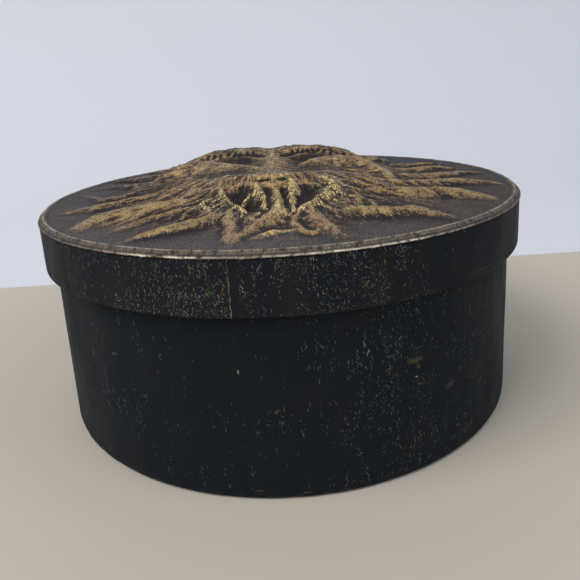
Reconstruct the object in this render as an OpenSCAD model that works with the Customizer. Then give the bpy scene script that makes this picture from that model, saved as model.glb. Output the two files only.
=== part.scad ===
// Round collar box: a covered board drum and a deep lift-off lid with a
// pressed relief top. Origin: centre of the underside. +Z up, front to -Y.
// Millimetres.

/* [Box] */
// Outer diameter of the lid's rim
lid_d = 180; // [160:1:200]
// Height of the flat rim of the lid above the table, lid closed
rim_h = 76; // [66:1:90]
// Outer diameter of the covered drum
body_d = 172.6; // [152:0.2:173]
// Clearance between the drum's top edge and the lining inside the lid
lid_gap = 0.4; // [0.3:0.1:1]

/* [Lid] */
// Depth of the lid's skirt, measured from the rim
skirt_h = 18; // [12:0.5:26]
// Thickness of the skirt's board hoop
skirt_t = 2.0; // [1.6:0.1:2.1]
// Thickness of the lid's board disc
lid_board_t = 2.0; // [1.5:0.1:3]
// How far the pressed top stands past the covered skirt, on each side
panel_lip = 0.3; // [0.1:0.1:0.4]

/* [Relief] */
// Thickness of the pressed top at its border
panel_t = 1.4; // [1.2:0.1:2]
// Height of the relief above the rim
relief_h = 14; // [8:0.5:18]
// Width of the raised border round the pressed top
border_w = 3.6; // [3.4:0.2:8]
// Number of steps round the pressed top
relief_steps = 144; // [96:8:160]
// Number of rings between the border and the middle of the pressed top
relief_rings = 30; // [20:1:31]

/* [Drum] */
// Thickness of the drum's board hoop
wall_t = 2.4; // [1.8:0.1:3]
// Thickness of the base's board disc
base_board_t = 2.4; // [1.8:0.1:4]
// Gap at the butt joints of the two hoops
joint_gap = 0.3; // [0.2:0.1:0.6]

/* [Covering and lining] */
// Thickness of the outer covering
cover_t = 0.4; // [0.3:0.05:0.5]
// Thickness of the lining
lining_t = 0.3; // [0.2:0.05:0.35]
// Width of the covering where it turns under the base
turn_under = 11; // [6:1:20]
// Depth of the covering where it turns down inside the drum
turn_in = 11; // [6:1:20]
// Depth of the covering where it turns up inside the skirt
skirt_turn_in = 4; // [3:0.5:8]
// Width of the tape over each hoop's joint
tape_w = 18; // [10:1:30]
// Thickness of the tape
tape_t = 0.25; // [0.15:0.05:0.3]

/* [Hidden] */
$fn = 96;

// Colours
c_cover = [0.07, 0.07, 0.08];
c_gold = [0.50, 0.38, 0.20];
c_board = [0.66, 0.58, 0.44];
c_lining = [0.80, 0.74, 0.62];
c_tape = [0.72, 0.62, 0.44];

// Drum, outside to inside
R_lid = lid_d / 2;
R_body = body_d / 2;
R_wall = R_body - cover_t;
R_wall_in = R_wall - wall_t;
R_hem = R_wall - turn_under;
z_hem = 0.35;                          // top of the disc under the base
z_base = z_hem + cover_t;
z_floor = z_base + base_board_t + lining_t;

// Lid, top to bottom
z_panel = rim_h - panel_t;             // flat back of the pressed top
z_board = z_panel - cover_t;           // top of the skirt hoop
z_ceiling = z_board - lid_board_t;     // underside of the lid's board
z_lid_in = z_ceiling - lining_t;       // lining inside the lid
z_skirt = rim_h - skirt_h;             // lower edge of the skirt
z_drum = z_lid_in - lid_gap;           // top edge of the covered drum
R_skirt_cover = R_lid - panel_lip;
R_skirt = R_skirt_cover - cover_t;
R_skirt_in = R_skirt - skirt_t;
R_turn = R_skirt_in - 8;               // inner edge of the covering turned over the lid

// Points on a quarter arc about c, from angle a to angle b
function arc(c, r, a, b, n = 6) = [for (i = [0:n]) let (t = a + (b - a) * i / n)
    [c[0] + r * cos(t), c[1] + r * sin(t)]];

module ring(r_in, r_out, z0, z1) {
    translate([0, 0, z0])
        difference() {
            cylinder(r = r_out, h = z1 - z0);
            translate([0, 0, -1]) cylinder(r = r_in, h = z1 - z0 + 2);
        }
}

module disc(r, z0, z1) { translate([0, 0, z0]) cylinder(r = r, h = z1 - z0); }

// A piece of a thin ring as wide as the tape, at the back
module tape_shape(r_in, t, z0, z1) {
    intersection() {
        ring(r_in, r_in + t, z0, z1);
        translate([-tape_w / 2, 0, z0 - 1]) cube([tape_w, r_in + 10, z1 - z0 + 2]);
    }
}

// ---------------------------------------------------------------- drum
module body_wall() {
    color(c_board) difference() {
        ring(R_wall_in, R_wall, z_base, z_drum - cover_t);
        translate([-joint_gap / 2, 0, 0]) cube([joint_gap, R_lid + 5, rim_h]);
        tape_shape(R_wall_in, tape_t, z_floor, z_drum - turn_in);
    }
}

module wall_joint_tape() {
    color(c_tape) tape_shape(R_wall_in, tape_t, z_floor, z_drum - turn_in);
}

module base_board() {
    color(c_board) union() {
        disc(R_wall_in, z_base, z_base + base_board_t);
        disc(R_hem, z_hem, z_base + 0.5);
    }
}

module body_cover() {
    rb = 1.0;
    rt = 0.8;
    color(c_cover) rotate_extrude(convexity = 6) polygon(concat(
        [[R_hem, z_hem]],
        arc([R_body - rb, z_hem + rb], rb, -90, 0),
        arc([R_body - rt, z_drum - rt], rt, 0, 90),
        arc([R_wall_in - cover_t + rt, z_drum - rt], rt, 90, 180),
        [[R_wall_in - cover_t, z_drum - turn_in], [R_wall_in, z_drum - turn_in],
         [R_wall_in, z_drum - cover_t], [R_wall, z_drum - cover_t],
         [R_wall, z_base], [R_hem, z_base]]));
}

module base_cover() { color(c_cover) disc(R_body - 1.1, 0, z_hem); }

module body_lining() {
    color(c_lining) ring(R_wall_in - lining_t, R_wall_in, z_floor, z_drum - turn_in);
}

module base_lining() { color(c_lining) disc(R_wall_in, z_floor - lining_t, z_floor); }

// ----------------------------------------------------------------- lid
module lid_board() {
    color(c_board) union() {
        disc(R_skirt_in, z_ceiling, z_board);
        disc(R_turn, z_board - 0.5, z_panel);
    }
}

module lid_skirt() {
    color(c_board) difference() {
        ring(R_skirt_in, R_skirt, z_skirt + cover_t, z_board);
        translate([-joint_gap / 2, 0, 0]) cube([joint_gap, R_lid + 5, rim_h]);
        tape_shape(R_skirt_in, tape_t, z_skirt + skirt_turn_in, z_lid_in);
    }
}

module skirt_joint_tape() {
    color(c_tape) tape_shape(R_skirt_in, tape_t, z_skirt + skirt_turn_in, z_lid_in);
}

module skirt_cover() {
    rb = 0.8;
    rt = 0.7;
    color(c_cover) rotate_extrude(convexity = 6) polygon(concat(
        [[R_skirt_in - cover_t, z_skirt + skirt_turn_in]],
        arc([R_skirt_in - cover_t + rb, z_skirt + rb], rb, 180, 270),
        arc([R_skirt_cover - rb, z_skirt + rb], rb, 270, 360),
        arc([R_skirt_cover - rt, z_panel - rt], rt, 0, 90),
        [[R_turn, z_panel], [R_turn, z_board], [R_skirt, z_board],
         [R_skirt, z_skirt + cover_t], [R_skirt_in, z_skirt + cover_t],
         [R_skirt_in, z_skirt + skirt_turn_in]]));
}

module lid_lining() { color(c_lining) disc(R_skirt_in, z_lid_in, z_ceiling); }

module skirt_lining() {
    color(c_lining) ring(R_skirt_in - lining_t, R_skirt_in, z_skirt + skirt_turn_in, z_lid_in);
}

// -------------------------------------------------------------- relief
// A lion's mask seen upright from the front of the box, its mane spread to the
// border. Lengths are for a relief 14 high on a top 180 across, scaled below.

// Broad form: a row of heights for each y, every 10 from x = -60 to x = 60
row_y = [-84, -75, -66, -58, -48, -40, -32, -26, -22, -14, -4, 5, 12, 20, 28, 38, 48, 60, 72, 84];
rows = [
    [0, 0, 0, 0, 0, 0, 0, 0, 0, 0, 0, 0, 0],
    [0, 0, 0, 0, 0.1, 0.2, 0.3, 0.3, 0.1, 0, 0, 0, 0],
    [0, 0, 0.2, 0.5, 0.9, 1.1, 1.2, 1.2, 0.9, 0.5, 0.2, 0, 0],
    [0, 0.2, 0.7, 1.3, 2.0, 2.2, 2.2, 2.2, 2.0, 1.3, 0.7, 0.2, 0],
    [0.1, 0.6, 1.6, 2.9, 3.8, 3.2, 2.8, 3.2, 3.8, 2.9, 1.5, 0.5, 0],
    [0.3, 1.1, 2.5, 4.4, 5.2, 3.6, 3.2, 3.6, 5.2, 4.3, 2.3, 0.8, 0.1],
    [0.4, 1.5, 3.3, 5.6, 7.2, 6.4, 6.2, 6.4, 6.9, 5.2, 2.9, 1.1, 0.3],
    [0.5, 1.7, 3.7, 6.0, 8.1, 8.4, 8.6, 8.4, 7.7, 5.8, 3.3, 1.3, 0.3],
    [0.6, 1.9, 4.0, 6.3, 8.3, 8.6, 8.9, 8.6, 8.0, 6.1, 3.6, 1.5, 0.4],
    [0.8, 2.3, 4.6, 6.7, 8.1, 8.5, 8.9, 8.5, 7.9, 6.4, 4.1, 1.8, 0.6],
    [1, 2.8, 5.3, 7.1, 8.2, 8.8, 9.4, 8.8, 8.1, 6.8, 4.5, 2.1, 0.7],
    [1.3, 3.3, 6.0, 7.8, 8.7, 9.4, 10.2, 9.4, 8.7, 7.5, 5.1, 2.5, 0.8],
    [0.9, 2.8, 6.9, 9.2, 9.6, 9.9, 11.0, 9.9, 9.5, 8.0, 4.8, 1.8, 0.5],
    [0.8, 3.0, 8.8, 12.9, 13.6, 13.5, 13.1, 13.5, 12.8, 10.6, 5.2, 1.8, 0.5],
    [0.7, 2.6, 7.8, 12.0, 13.2, 13.2, 12.8, 13.0, 12.2, 9.6, 4.6, 1.6, 0.4],
    [0.4, 1.6, 5.0, 9.0, 10.6, 10.8, 10.8, 10.6, 9.6, 7.2, 3.4, 1.2, 0.3],
    [0.7, 1.9, 3.9, 5.9, 7.1, 7.6, 7.6, 7.4, 6.4, 4.6, 2.5, 1.0, 0.3],
    [0.2, 0.8, 1.6, 2.5, 3.1, 3.4, 3.4, 3.3, 2.5, 1.6, 0.7, 0.2, 0],
    [0, 0.1, 0.3, 0.6, 0.8, 0.9, 0.9, 0.8, 0.6, 0.3, 0.1, 0, 0],
    [0, 0, 0, 0, 0, 0, 0, 0, 0, 0, 0, 0, 0],
];

// Folds that run out to the border: points of the crest, half-widths, heights
folds = [
    [[[-20, -55], [-25, -61], [-31, -64], [-37, -66], [-45, -71]], [9, 9, 8, 6, 2], [3.0, 3.4, 3.1, 2.1, 0.2]],
    [[[-30, -38], [-40, -42], [-49, -43], [-57, -45], [-66, -54]], [15, 17, 16, 12, 4], [5.2, 4.7, 4.0, 3.0, 0.2]],
    [[[-30, -46], [-38, -49], [-44, -51], [-48, -55], [-53, -59]], [8, 8, 8, 6, 2], [3.8, 2.7, 1.9, 1.0, 0.1]],
    [[[-42, -14], [-55, -20], [-64, -22], [-71, -26], [-80, -28]], [10, 9, 8, 6, 2], [4.2, 2.9, 2.1, 1.4, 0.2]],
    [[[-45, -1], [-54, -4], [-61, -8], [-68, -8], [-77, 2], [-84, 9]], [8, 7, 5, 4, 3, 2], [4.0, 2.9, 2.1, 1.4, 0.9, 0.2]],
    [[[-47, 12], [-60, 16], [-70, 20], [-79, 19]], [10, 8, 6, 2], [4, 2.4, 1.4, 0.2]],
    [[[-49, 27], [-59, 33], [-68, 36], [-77, 36]], [11, 9, 6, 2], [4.4, 3.0, 1.9, 0.2]],
    [[[-45, 42], [-53, 49], [-59, 53], [-64, 53]], [11, 8, 5, 2], [4.6, 3.5, 2.1, 0.3]],
    [[[-29, 50], [-37, 60], [-41, 68], [-38, 76]], [10, 9, 7, 2], [5.2, 3.4, 2.0, 0.2]],
    [[[-12, 54], [-15, 66], [-15, 75], [-21, 82]], [10, 9, 7, 2], [5.0, 3.0, 1.8, 0.2]],
    [[[8, 54], [9, 67], [7, 76], [12, 83]], [10, 9, 7, 2], [5.0, 3.0, 1.8, 0.2]],
    [[[24, 51], [31, 62], [36, 70], [33, 78]], [10, 9, 7, 2], [4.2, 2.2, 1.2, 0.2]],
    [[[36, 43], [45, 51], [53, 57], [58, 64]], [9, 7, 5, 2], [3.2, 1.6, 0.9, 0.1]],
    [[[42, 24], [52, 27], [61, 29], [70, 31], [78, 29]], [9, 7, 6, 4, 2], [3.6, 2.4, 2.0, 1.3, 0.2]],
    [[[44, 8], [53, 11], [61, 17], [70, 20], [79, 16]], [9, 7, 6, 4, 2], [4.0, 3.0, 2.3, 1.5, 0.2]],
    [[[44, -8], [54, -4], [66, 1], [76, 4], [85, 3]], [9, 7, 6, 4, 2], [3.8, 2.8, 2.1, 1.4, 0.2]],
    [[[42, -22], [56, -18], [67, -16], [75, -18], [83, -24]], [9, 8, 7, 5, 2], [3.8, 2.9, 2.2, 1.4, 0.2]],
    [[[34, -38], [47, -36], [55, -35], [62, -38], [71, -47]], [10, 11, 10, 8, 3], [4.6, 3.9, 3.4, 2.5, 0.2]],
    [[[22, -58], [31, -61], [39, -60], [45, -63], [51, -69]], [8, 9, 8, 6, 2], [3.8, 3.8, 3.0, 1.8, 0.2]],
    [[[-16, -48], [-15, -57], [-15, -66], [-14, -74], [-13, -82]], [4, 4, 4, 4, 5], [3.6, 3.1, 2.3, 1.5, 0.4]],
    [[[-1, -56], [-5, -63], [-9, -69], [-13, -77]], [7, 8, 7, 4], [4.0, 3.2, 2.2, 0.9]],
    [[[9, -55], [10, -64], [13, -72], [16, -78], [19, -83]], [7, 8, 8, 7, 4], [4.0, 3.6, 2.6, 1.4, 0.3]],
    [[[-22, -34], [-24, -44], [-22, -52], [-20, -60]], [7, 8, 7, 4], [5.4, 4.9, 3.6, 1.6]],
    [[[22, -32], [25, -43], [24, -52], [21, -60]], [8, 9, 8, 4], [6.2, 4.9, 3.6, 1.6]],
];

// Features of the head: points of the crest, half-widths, heights, how far the sides fall
features = [
    [[[-7, 16], [-14, 19.5], [-24, 20], [-33, 17], [-41, 12]], [6, 7, 7, 6, 5], [12.8, 13.5, 13.5, 12.2, 9.2], 3],    // brow, left
    [[[3, 16], [11, 19.5], [21, 20], [29, 16.5], [36, 11]], [6, 7, 7, 6, 5], [12.8, 13.5, 13.1, 11.2, 8.4], 3],       // brow, right
    [[[-2, 19], [-2, 10], [-2, 0], [-2, -12], [-2, -22]], [6, 7, 8, 10, 12], [12.9, 12.3, 11.3, 10.4, 9.9], 2],       // nose
    [[[-48, 8], [-41, 11], [-33, 13], [-26, 10], [-18, 3], [-10, -5], [-5, -12]], [8, 10, 11, 10, 8, 7, 5],
     [6.0, 8.6, 10.3, 10.9, 10.4, 9.8, 9.4], 3],                                                                      // cheek, left
    [[[9, -5], [15, 2], [22, 6], [29, 5], [35, 0], [40, -9], [42, -19]], [5, 8, 9, 9, 9, 8, 5],
     [9.6, 10.7, 11.1, 10.6, 9.2, 6.4, 3.8], 3],                                                                      // cheek, right
    [[[-6, -23], [-13, -22], [-19, -22], [-25, -24], [-32, -31]], [8, 9, 9, 8, 6], [9.4, 9.5, 9.3, 7.7, 4.8], 2.4],   // muzzle, left
    [[[2, -23], [9, -22], [16, -21], [23, -20], [31, -23]], [8, 9, 9, 8, 6], [9.3, 9.1, 8.9, 7.9, 5.2], 2.4],         // muzzle, right
    [[[-8, -25.5], [-2, -27], [4, -25.5]], [5, 6, 5], [9.7, 10.0, 9.7], 2],                                           // nose pad
    [[[-33, 26], [-47, 33], [-43, 41], [-35, 43]], [4, 5, 5, 4], [6.0, 6.8, 6.2, 5.4], 2],                            // ear, left
    [[[40, 26], [44, 33], [40, 41], [32, 43]], [4, 5, 5, 4], [5.0, 5.8, 5.2, 4.4], 2],                                // ear, right
];

// Lips, teeth and tongue, set into the opened mouth
teeth = [
    [[[-20, -26], [-20, -33], [-18, -39], [-15, -46], [-11, -53]], [4, 4, 4, 3, 3], [8.2, 7.2, 6.1, 4.9, 3.8], 2.4],
    [[[16, -25], [18, -32], [17, -39], [13, -47], [6, -56]], [5, 6, 6, 4, 3], [8.4, 7.6, 6.6, 5.2, 4.0], 2.4],
    [[[-8, -32], [-7, -40], [-6, -47], [-5, -55]], [4, 4, 3, 2], [8.4, 7.6, 5.9, 3.6], 3.6],
    [[[4, -31], [5, -39], [4, -47], [3, -57]], [4, 4, 3, 2], [8.9, 7.8, 6.0, 3.6], 3.8],
    [[[-2, -32], [-1, -41], [-1, -49], [-1, -58]], [3, 3, 4, 6], [7.6, 6.6, 5.5, 4.1], 3],
];

// Hollows: centre, half-axes, depth
hollows = [
    [[-2, 27], [4.5, 13], 1.1], [[-17, 9.5], [13, 7], 2.4], [[-17, 10], [6, 4], -1.9], [[14.5, 9.5], [13, 7], 2.4],
    [[14.5, 10], [6, 4], -1.9], [[-39, 34], [6, 6], 1.6], [[36, 34], [6, 6], 1.6],
];
mouths = [[[-12, -42], [6, 11], 2.8], [[10, -42], [6, 11], 2.8], [[-2, -47], [11, 9], 1.2]];

// A smooth curve through a, b, c, d, between b and c
function curve(a, b, c, d, t) =
    (2 * b + (c - a) * t + (2 * a - 5 * b + 4 * c - d) * t * t + (3 * b - a - 3 * c + d) * t * t * t) / 2;
function in_row(j, x) =
    let (u = min(max((x + 60) / 10, 0), 11.99), i = floor(u), r = rows[min(max(j, 0), len(rows) - 1)])
    curve(r[max(i - 1, 0)], r[i], r[i + 1], r[min(i + 2, 12)], u - i);
function row_of(y, k = 0) = k >= len(row_y) - 2 || y < row_y[k + 1] ? k : row_of(y, k + 1);
function broad(p) =
    let (k = row_of(p.y), t = min(max((p.y - row_y[k]) / (row_y[k + 1] - row_y[k]), 0), 1),
         edge = min(max((66 - abs(p.x)) / 8, 0), 1))
    edge * edge * (3 - 2 * edge) * max(0, curve(in_row(k - 1, p.x), in_row(k, p.x), in_row(k + 1, p.x), in_row(k + 2, p.x), t));

// Cross-section of a fold: 1 at the crest, 0 at the foot
function section(q) = q >= 1 ? 0 : 0.55 * pow(1 - q * q, 2) + 0.45 * pow(1 - q, 1.7);

// Nearest place on one leg of a crest, and the height there; drop undef means down to the field
function leg(p, f, i, drop) =
    let (a = f[0][i], ab = f[0][i + 1] - a, t = min(max((p - a) * ab / (ab * ab), 0), 1),
         q = norm(p - a - t * ab) / (f[1][i] + (f[1][i + 1] - f[1][i]) * t), h = f[2][i] + (f[2][i + 1] - f[2][i]) * t,
         d = is_undef(drop) ? h : min(drop, h))
    h - d * (1 - section(q)) - 3 * max(q - 1, 0);
function crest(p, f, drop) = max([for (i = [0:len(f[0]) - 2]) leg(p, f, i, drop)]);
function near(p, f, m = 16) =
    let (c = f[0][floor(len(f[0]) / 2)]) abs(p.x - c.x) < 20 + m && abs(p.y - c.y) < 20 + m;
function highest(p, list, z, k = 0) =
    k >= len(list) ? z
    : highest(p, list, near(p, list[k]) ? max(z, crest(p, list[k], list[k][3])) : z, k + 1);
function hole(p, h) =
    let (d = norm([(p.x - h[0].x) / h[1].x, (p.y - h[0].y) / h[1].y])) d >= 1 ? 0 : h[2] * (1 - d * d * d);
function dug(p, list, k = 0) = k >= len(list) ? 0 : hole(p, list[k]) + dug(p, list, k + 1);

// The border's cross-section: distance in from the edge, height for a panel 1.4 thick
border = [[0, -1.2], [0.3, -0.85], [0.9, -0.35], [1.4, 0.1], [1.9, 0.45], [2.6, 0.1], [3.2, -0.1]];

function relief(p) =
    let (q = p * (180 / lid_d), r = norm(q))
    let (m = highest(q, folds, broad(q)))
    let (h = highest(q, features, m - dug(q, hollows)))
    let (z = highest(q, teeth, h - dug(q, mouths)))
    (relief_h / 14) * min(max((89.8 - border_w - r) / 3, 0), 1) * max(z, 0);

// Radii of the rings, border first
steps_in = [0, 0.3, 0.9, 1.4, 1.9, 2.6, 3.2];
radii = concat([for (u = steps_in) R_lid - u],
               [for (i = [0:relief_rings - 1]) (R_lid - border_w) * (1 - i / relief_rings)]);

module relief_panel() {
    n = relief_steps;
    m = len(radii);
    nb = len(steps_in);
    k = panel_t / 1.4;
    top = [for (j = [0:m - 1]) for (i = [0:n - 1])
        let (a = 360 * i / n, p = radii[j] * [cos(a), sin(a)])
        [p.x, p.y, rim_h + (j < nb ? k * lookup(steps_in[j], border) : -0.1 * k + relief(p))]];
    centre = [0, 0, rim_h - 0.1 * k + relief([0, 0])];
    rim = [for (i = [0:n - 1]) let (a = 360 * i / n) [R_lid * cos(a), R_lid * sin(a), z_panel]];
    c = m * n;
    b = c + 1;
    color(c_gold) polyhedron(points = concat(top, [centre], rim), convexity = 10, faces = concat(
        [for (j = [0:m - 2]) for (i = [0:n - 1]) let (k = (i + 1) % n)
            each [[j * n + i, (j + 1) * n + i, j * n + k], [j * n + k, (j + 1) * n + i, (j + 1) * n + k]]],
        [for (i = [0:n - 1]) [(m - 1) * n + i, c, (m - 1) * n + (i + 1) % n]],
        [for (i = [0:n - 1]) let (k = (i + 1) % n) each [[b + i, i, k], [b + i, k, b + k]]],
        [[for (i = [0:n - 1]) b + i]]));
}

body_wall();
wall_joint_tape();
base_board();
body_cover();
base_cover();
body_lining();
base_lining();
relief_panel();
lid_board();
lid_skirt();
skirt_joint_tape();
skirt_cover();
lid_lining();
skirt_lining();
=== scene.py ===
"""Looks of the round collar box: covered board drum, deep lift-off lid, gilded pressed relief top."""

import math

import bpy
import numpy as np
from mathutils import Matrix, Vector


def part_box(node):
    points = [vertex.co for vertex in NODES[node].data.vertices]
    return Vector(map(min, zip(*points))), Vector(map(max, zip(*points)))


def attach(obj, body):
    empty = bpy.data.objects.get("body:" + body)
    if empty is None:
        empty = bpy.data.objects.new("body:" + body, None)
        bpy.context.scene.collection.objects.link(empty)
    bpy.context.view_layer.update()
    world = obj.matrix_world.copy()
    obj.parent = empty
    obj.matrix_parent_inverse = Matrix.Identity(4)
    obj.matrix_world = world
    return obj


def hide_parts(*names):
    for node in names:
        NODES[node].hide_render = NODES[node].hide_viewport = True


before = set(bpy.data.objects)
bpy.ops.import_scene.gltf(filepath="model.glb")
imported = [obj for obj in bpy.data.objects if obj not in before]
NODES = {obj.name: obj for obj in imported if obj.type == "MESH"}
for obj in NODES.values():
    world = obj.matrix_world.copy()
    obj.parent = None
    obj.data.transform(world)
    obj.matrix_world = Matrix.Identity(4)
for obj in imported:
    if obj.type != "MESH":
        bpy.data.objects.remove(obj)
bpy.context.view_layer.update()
MM = 0.001


def reach(node):
    """(outer radius, lowest z, highest z) of a round node, in mm"""
    lo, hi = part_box(node)
    return hi.x * 1000, lo.z * 1000, hi.z * 1000


# ---------------------------------------------------------------- sizes, mm
R_LID, Z_PANEL, _ = reach("relief_panel")
R_SKIRT, Z_SKIRT, _ = reach("skirt_cover")
R_BODY, Z_HEM, Z_DRUM = reach("body_cover")
R_SKIRT_IN = reach("lid_board")[0]
R_WALL_IN = reach("base_lining")[0]
R_WALL, Z_BASE, _ = reach("body_wall")
Z_BOARD = Z_PANEL - 0.4
Z_RIM = Z_PANEL + 1.4
BORDER = 3.6                 # width of the raised border
R_FIELD = R_LID - BORDER
Z_FIELD = Z_RIM - 0.1


# =================================================================== camera
def make_camera():
    r = 90.0
    dist, height = 2.5665 * r, 1.3145 * r
    yaw, pitch, roll = 0.0145, 0.2501, -0.0586
    fwd = Vector((math.sin(yaw) * math.cos(pitch), math.cos(yaw) * math.cos(pitch), -math.sin(pitch)))
    right = fwd.cross(Vector((0, 0, 1))).normalized()
    up = right.cross(fwd)
    r2 = math.cos(roll) * right + math.sin(roll) * up
    u2 = -math.sin(roll) * right + math.cos(roll) * up
    cam = bpy.data.objects.new("camera", bpy.data.cameras.new("camera"))
    bpy.context.scene.collection.objects.link(cam)
    cam.matrix_world = Matrix(((r2.x, u2.x, -fwd.x, 0.0),
                               (r2.y, u2.y, -fwd.y, -dist * MM),
                               (r2.z, u2.z, -fwd.z, height * MM),
                               (0, 0, 0, 1)))
    cam.data.sensor_width = 36.0
    cam.data.lens = 585.36 * 36.0 / 580.0
    cam.data.shift_y = -62.87 / 580.0
    cam.data.clip_start, cam.data.clip_end = 0.01, 20.0
    bpy.context.scene.camera = cam


make_camera()


# ============================================================ number helpers
def hill(x, y, cx, cy, rx, ry, e=2.0, k=2.0, rot=0.0):
    c, s = math.cos(math.radians(rot)), math.sin(math.radians(rot))
    dx, dy = x - cx, y - cy
    u, v = (c * dx + s * dy) / rx, (-s * dx + c * dy) / ry
    d = np.sqrt(u * u + v * v)
    return np.where(d >= 1, 0.0, (1 - np.minimum(d, 1) ** e) ** k)


def spline(pts, n):
    """n points on a smooth curve through pts"""
    p = np.array(pts, float)
    if len(p) == 2:
        t = np.linspace(0, 1, n)[:, None]
        return p[0] * (1 - t) + p[1] * t
    q = np.vstack([2 * p[0] - p[1], p, 2 * p[-1] - p[-2]])
    m = len(p) - 1
    out = []
    for tt in np.linspace(0, 1, n) * m:
        i = min(int(tt), m - 1)
        f = tt - i
        a, b, c, d = q[i:i + 4]
        out.append(0.5 * (2 * b + (c - a) * f + (2 * a - 5 * b + 4 * c - d) * f * f + (3 * b - a - 3 * c + d) * f ** 3))
    return np.array(out)


def trace(x, y, pts, n=16):
    """distance to the curve, place 0..1 along it, signed distance (left is positive)"""
    c = spline(pts, n)
    best = np.full(x.shape, 1e9)
    along = np.zeros(x.shape)
    side = np.ones(x.shape)
    for i in range(n - 1):
        a, ab = c[i], c[i + 1] - c[i]
        s = np.clip(((x - a[0]) * ab[0] + (y - a[1]) * ab[1]) / (ab @ ab + 1e-12), 0, 1)
        dx, dy = x - (a[0] + s * ab[0]), y - (a[1] + s * ab[1])
        d = np.hypot(dx, dy)
        m = d < best
        best = np.where(m, d, best)
        along = np.where(m, (i + s) / (n - 1), along)
        side = np.where(m, np.sign(ab[0] * dy - ab[1] * dx), side)
    return best, along, best * side


def table(values, t):
    v = np.array(values, float)
    return np.interp(t, np.linspace(0, 1, len(v)), v)


def ridge(x, y, pts, w, h, n=16, lean=0.0):
    d, t, s = trace(x, y, pts, n)
    width = table(w, t)
    if lean:
        width = width * (1 - lean * np.sign(s))
    q = np.clip(d / width, 0, 1)
    return table(h, t) * (1 - q * q) ** 1.5


_lattice = {}


def vnoise(x, y, seed):
    """smooth value noise, -1..1"""
    if seed not in _lattice:
        _lattice[seed] = np.random.RandomState(seed).rand(256, 256) * 2 - 1
    t = _lattice[seed]
    xi, yi = np.floor(x).astype(int), np.floor(y).astype(int)
    fx, fy = x - xi, y - yi
    u, v = fx * fx * (3 - 2 * fx), fy * fy * (3 - 2 * fy)
    x0, x1, y0, y1 = xi % 256, (xi + 1) % 256, yi % 256, (yi + 1) % 256
    return (t[y0, x0] * (1 - u) + t[y0, x1] * u) * (1 - v) + (t[y1, x0] * (1 - u) + t[y1, x1] * u) * v


def fbm(x, y, seed, octaves=3):
    z, a, s = 0.0, 1.0, 0.0
    for i in range(octaves):
        z = z + a * vnoise(x * 2 ** i, y * 2 ** i, seed + i)
        s += a
        a *= 0.5
    return z / s


def smax(a, b, k):
    return np.maximum(a, b) + k * np.log1p(np.exp(-np.abs(a - b) / k)) - k * math.log(2) * np.exp(-np.abs(a - b) / k)


def sstep(lo, hi, v):
    t = np.clip((v - lo) / (hi - lo), 0, 1)
    return t * t * (3 - 2 * t)


def blur(z, n):
    """a soft blur in index space, n passes of 1-2-1"""
    for _ in range(n):
        p = np.pad(z, 1, mode="edge")
        z = (p[1:-1, :-2] + 2 * p[1:-1, 1:-1] + p[1:-1, 2:]) / 4
        p = np.pad(z, 1, mode="edge")
        z = (p[:-2, 1:-1] + 2 * p[1:-1, 1:-1] + p[2:, 1:-1]) / 4
    return z


def polar(a, r, c=(0, 4)):
    return (c[0] + r * math.cos(math.radians(a)), c[1] + r * math.sin(math.radians(a)))


# ============================================================ mesh helpers
def new_mesh(name, verts, faces, attrs=None, smooth=True):
    """verts (n,3) in mm; faces a list of arrays (m,3) or (m,4)"""
    me = bpy.data.meshes.new(name)
    verts = np.asarray(verts, np.float64) * MM
    loops = np.concatenate([np.asarray(f).ravel() for f in faces]).astype(np.int32)
    totals = np.concatenate([np.full(len(f), np.asarray(f).shape[1]) for f in faces]).astype(np.int32)
    starts = np.concatenate([[0], np.cumsum(totals)[:-1]]).astype(np.int32)
    me.vertices.add(len(verts))
    me.vertices.foreach_set("co", verts.astype(np.float32).ravel())
    me.loops.add(len(loops))
    me.loops.foreach_set("vertex_index", loops)
    me.polygons.add(len(totals))
    me.polygons.foreach_set("loop_start", starts)
    me.polygons.foreach_set("loop_total", totals)
    me.update(calc_edges=True)
    me.validate()
    me.polygons.foreach_set("use_smooth", np.full(len(me.polygons), smooth))
    for key, val in (attrs or {}).items():
        val = np.asarray(val, np.float32)
        if val.ndim == 2:
            at = me.attributes.new(key, "FLOAT_VECTOR", "POINT")
            at.data.foreach_set("vector", val.ravel())
        else:
            at = me.attributes.new(key, "FLOAT", "POINT")
            at.data.foreach_set("value", val)
    ob = bpy.data.objects.new(name, me)
    bpy.context.scene.collection.objects.link(ob)
    return ob


def ring_faces(a, b, closed=True):
    """quads between two index rings of equal length"""
    a, b = np.asarray(a), np.asarray(b)
    if closed:
        a2, b2 = np.roll(a, -1), np.roll(b, -1)
        return np.stack([a, a2, b2, b], 1)
    return np.stack([a[:-1], a[1:], b[1:], b[:-1]], 1)


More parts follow.
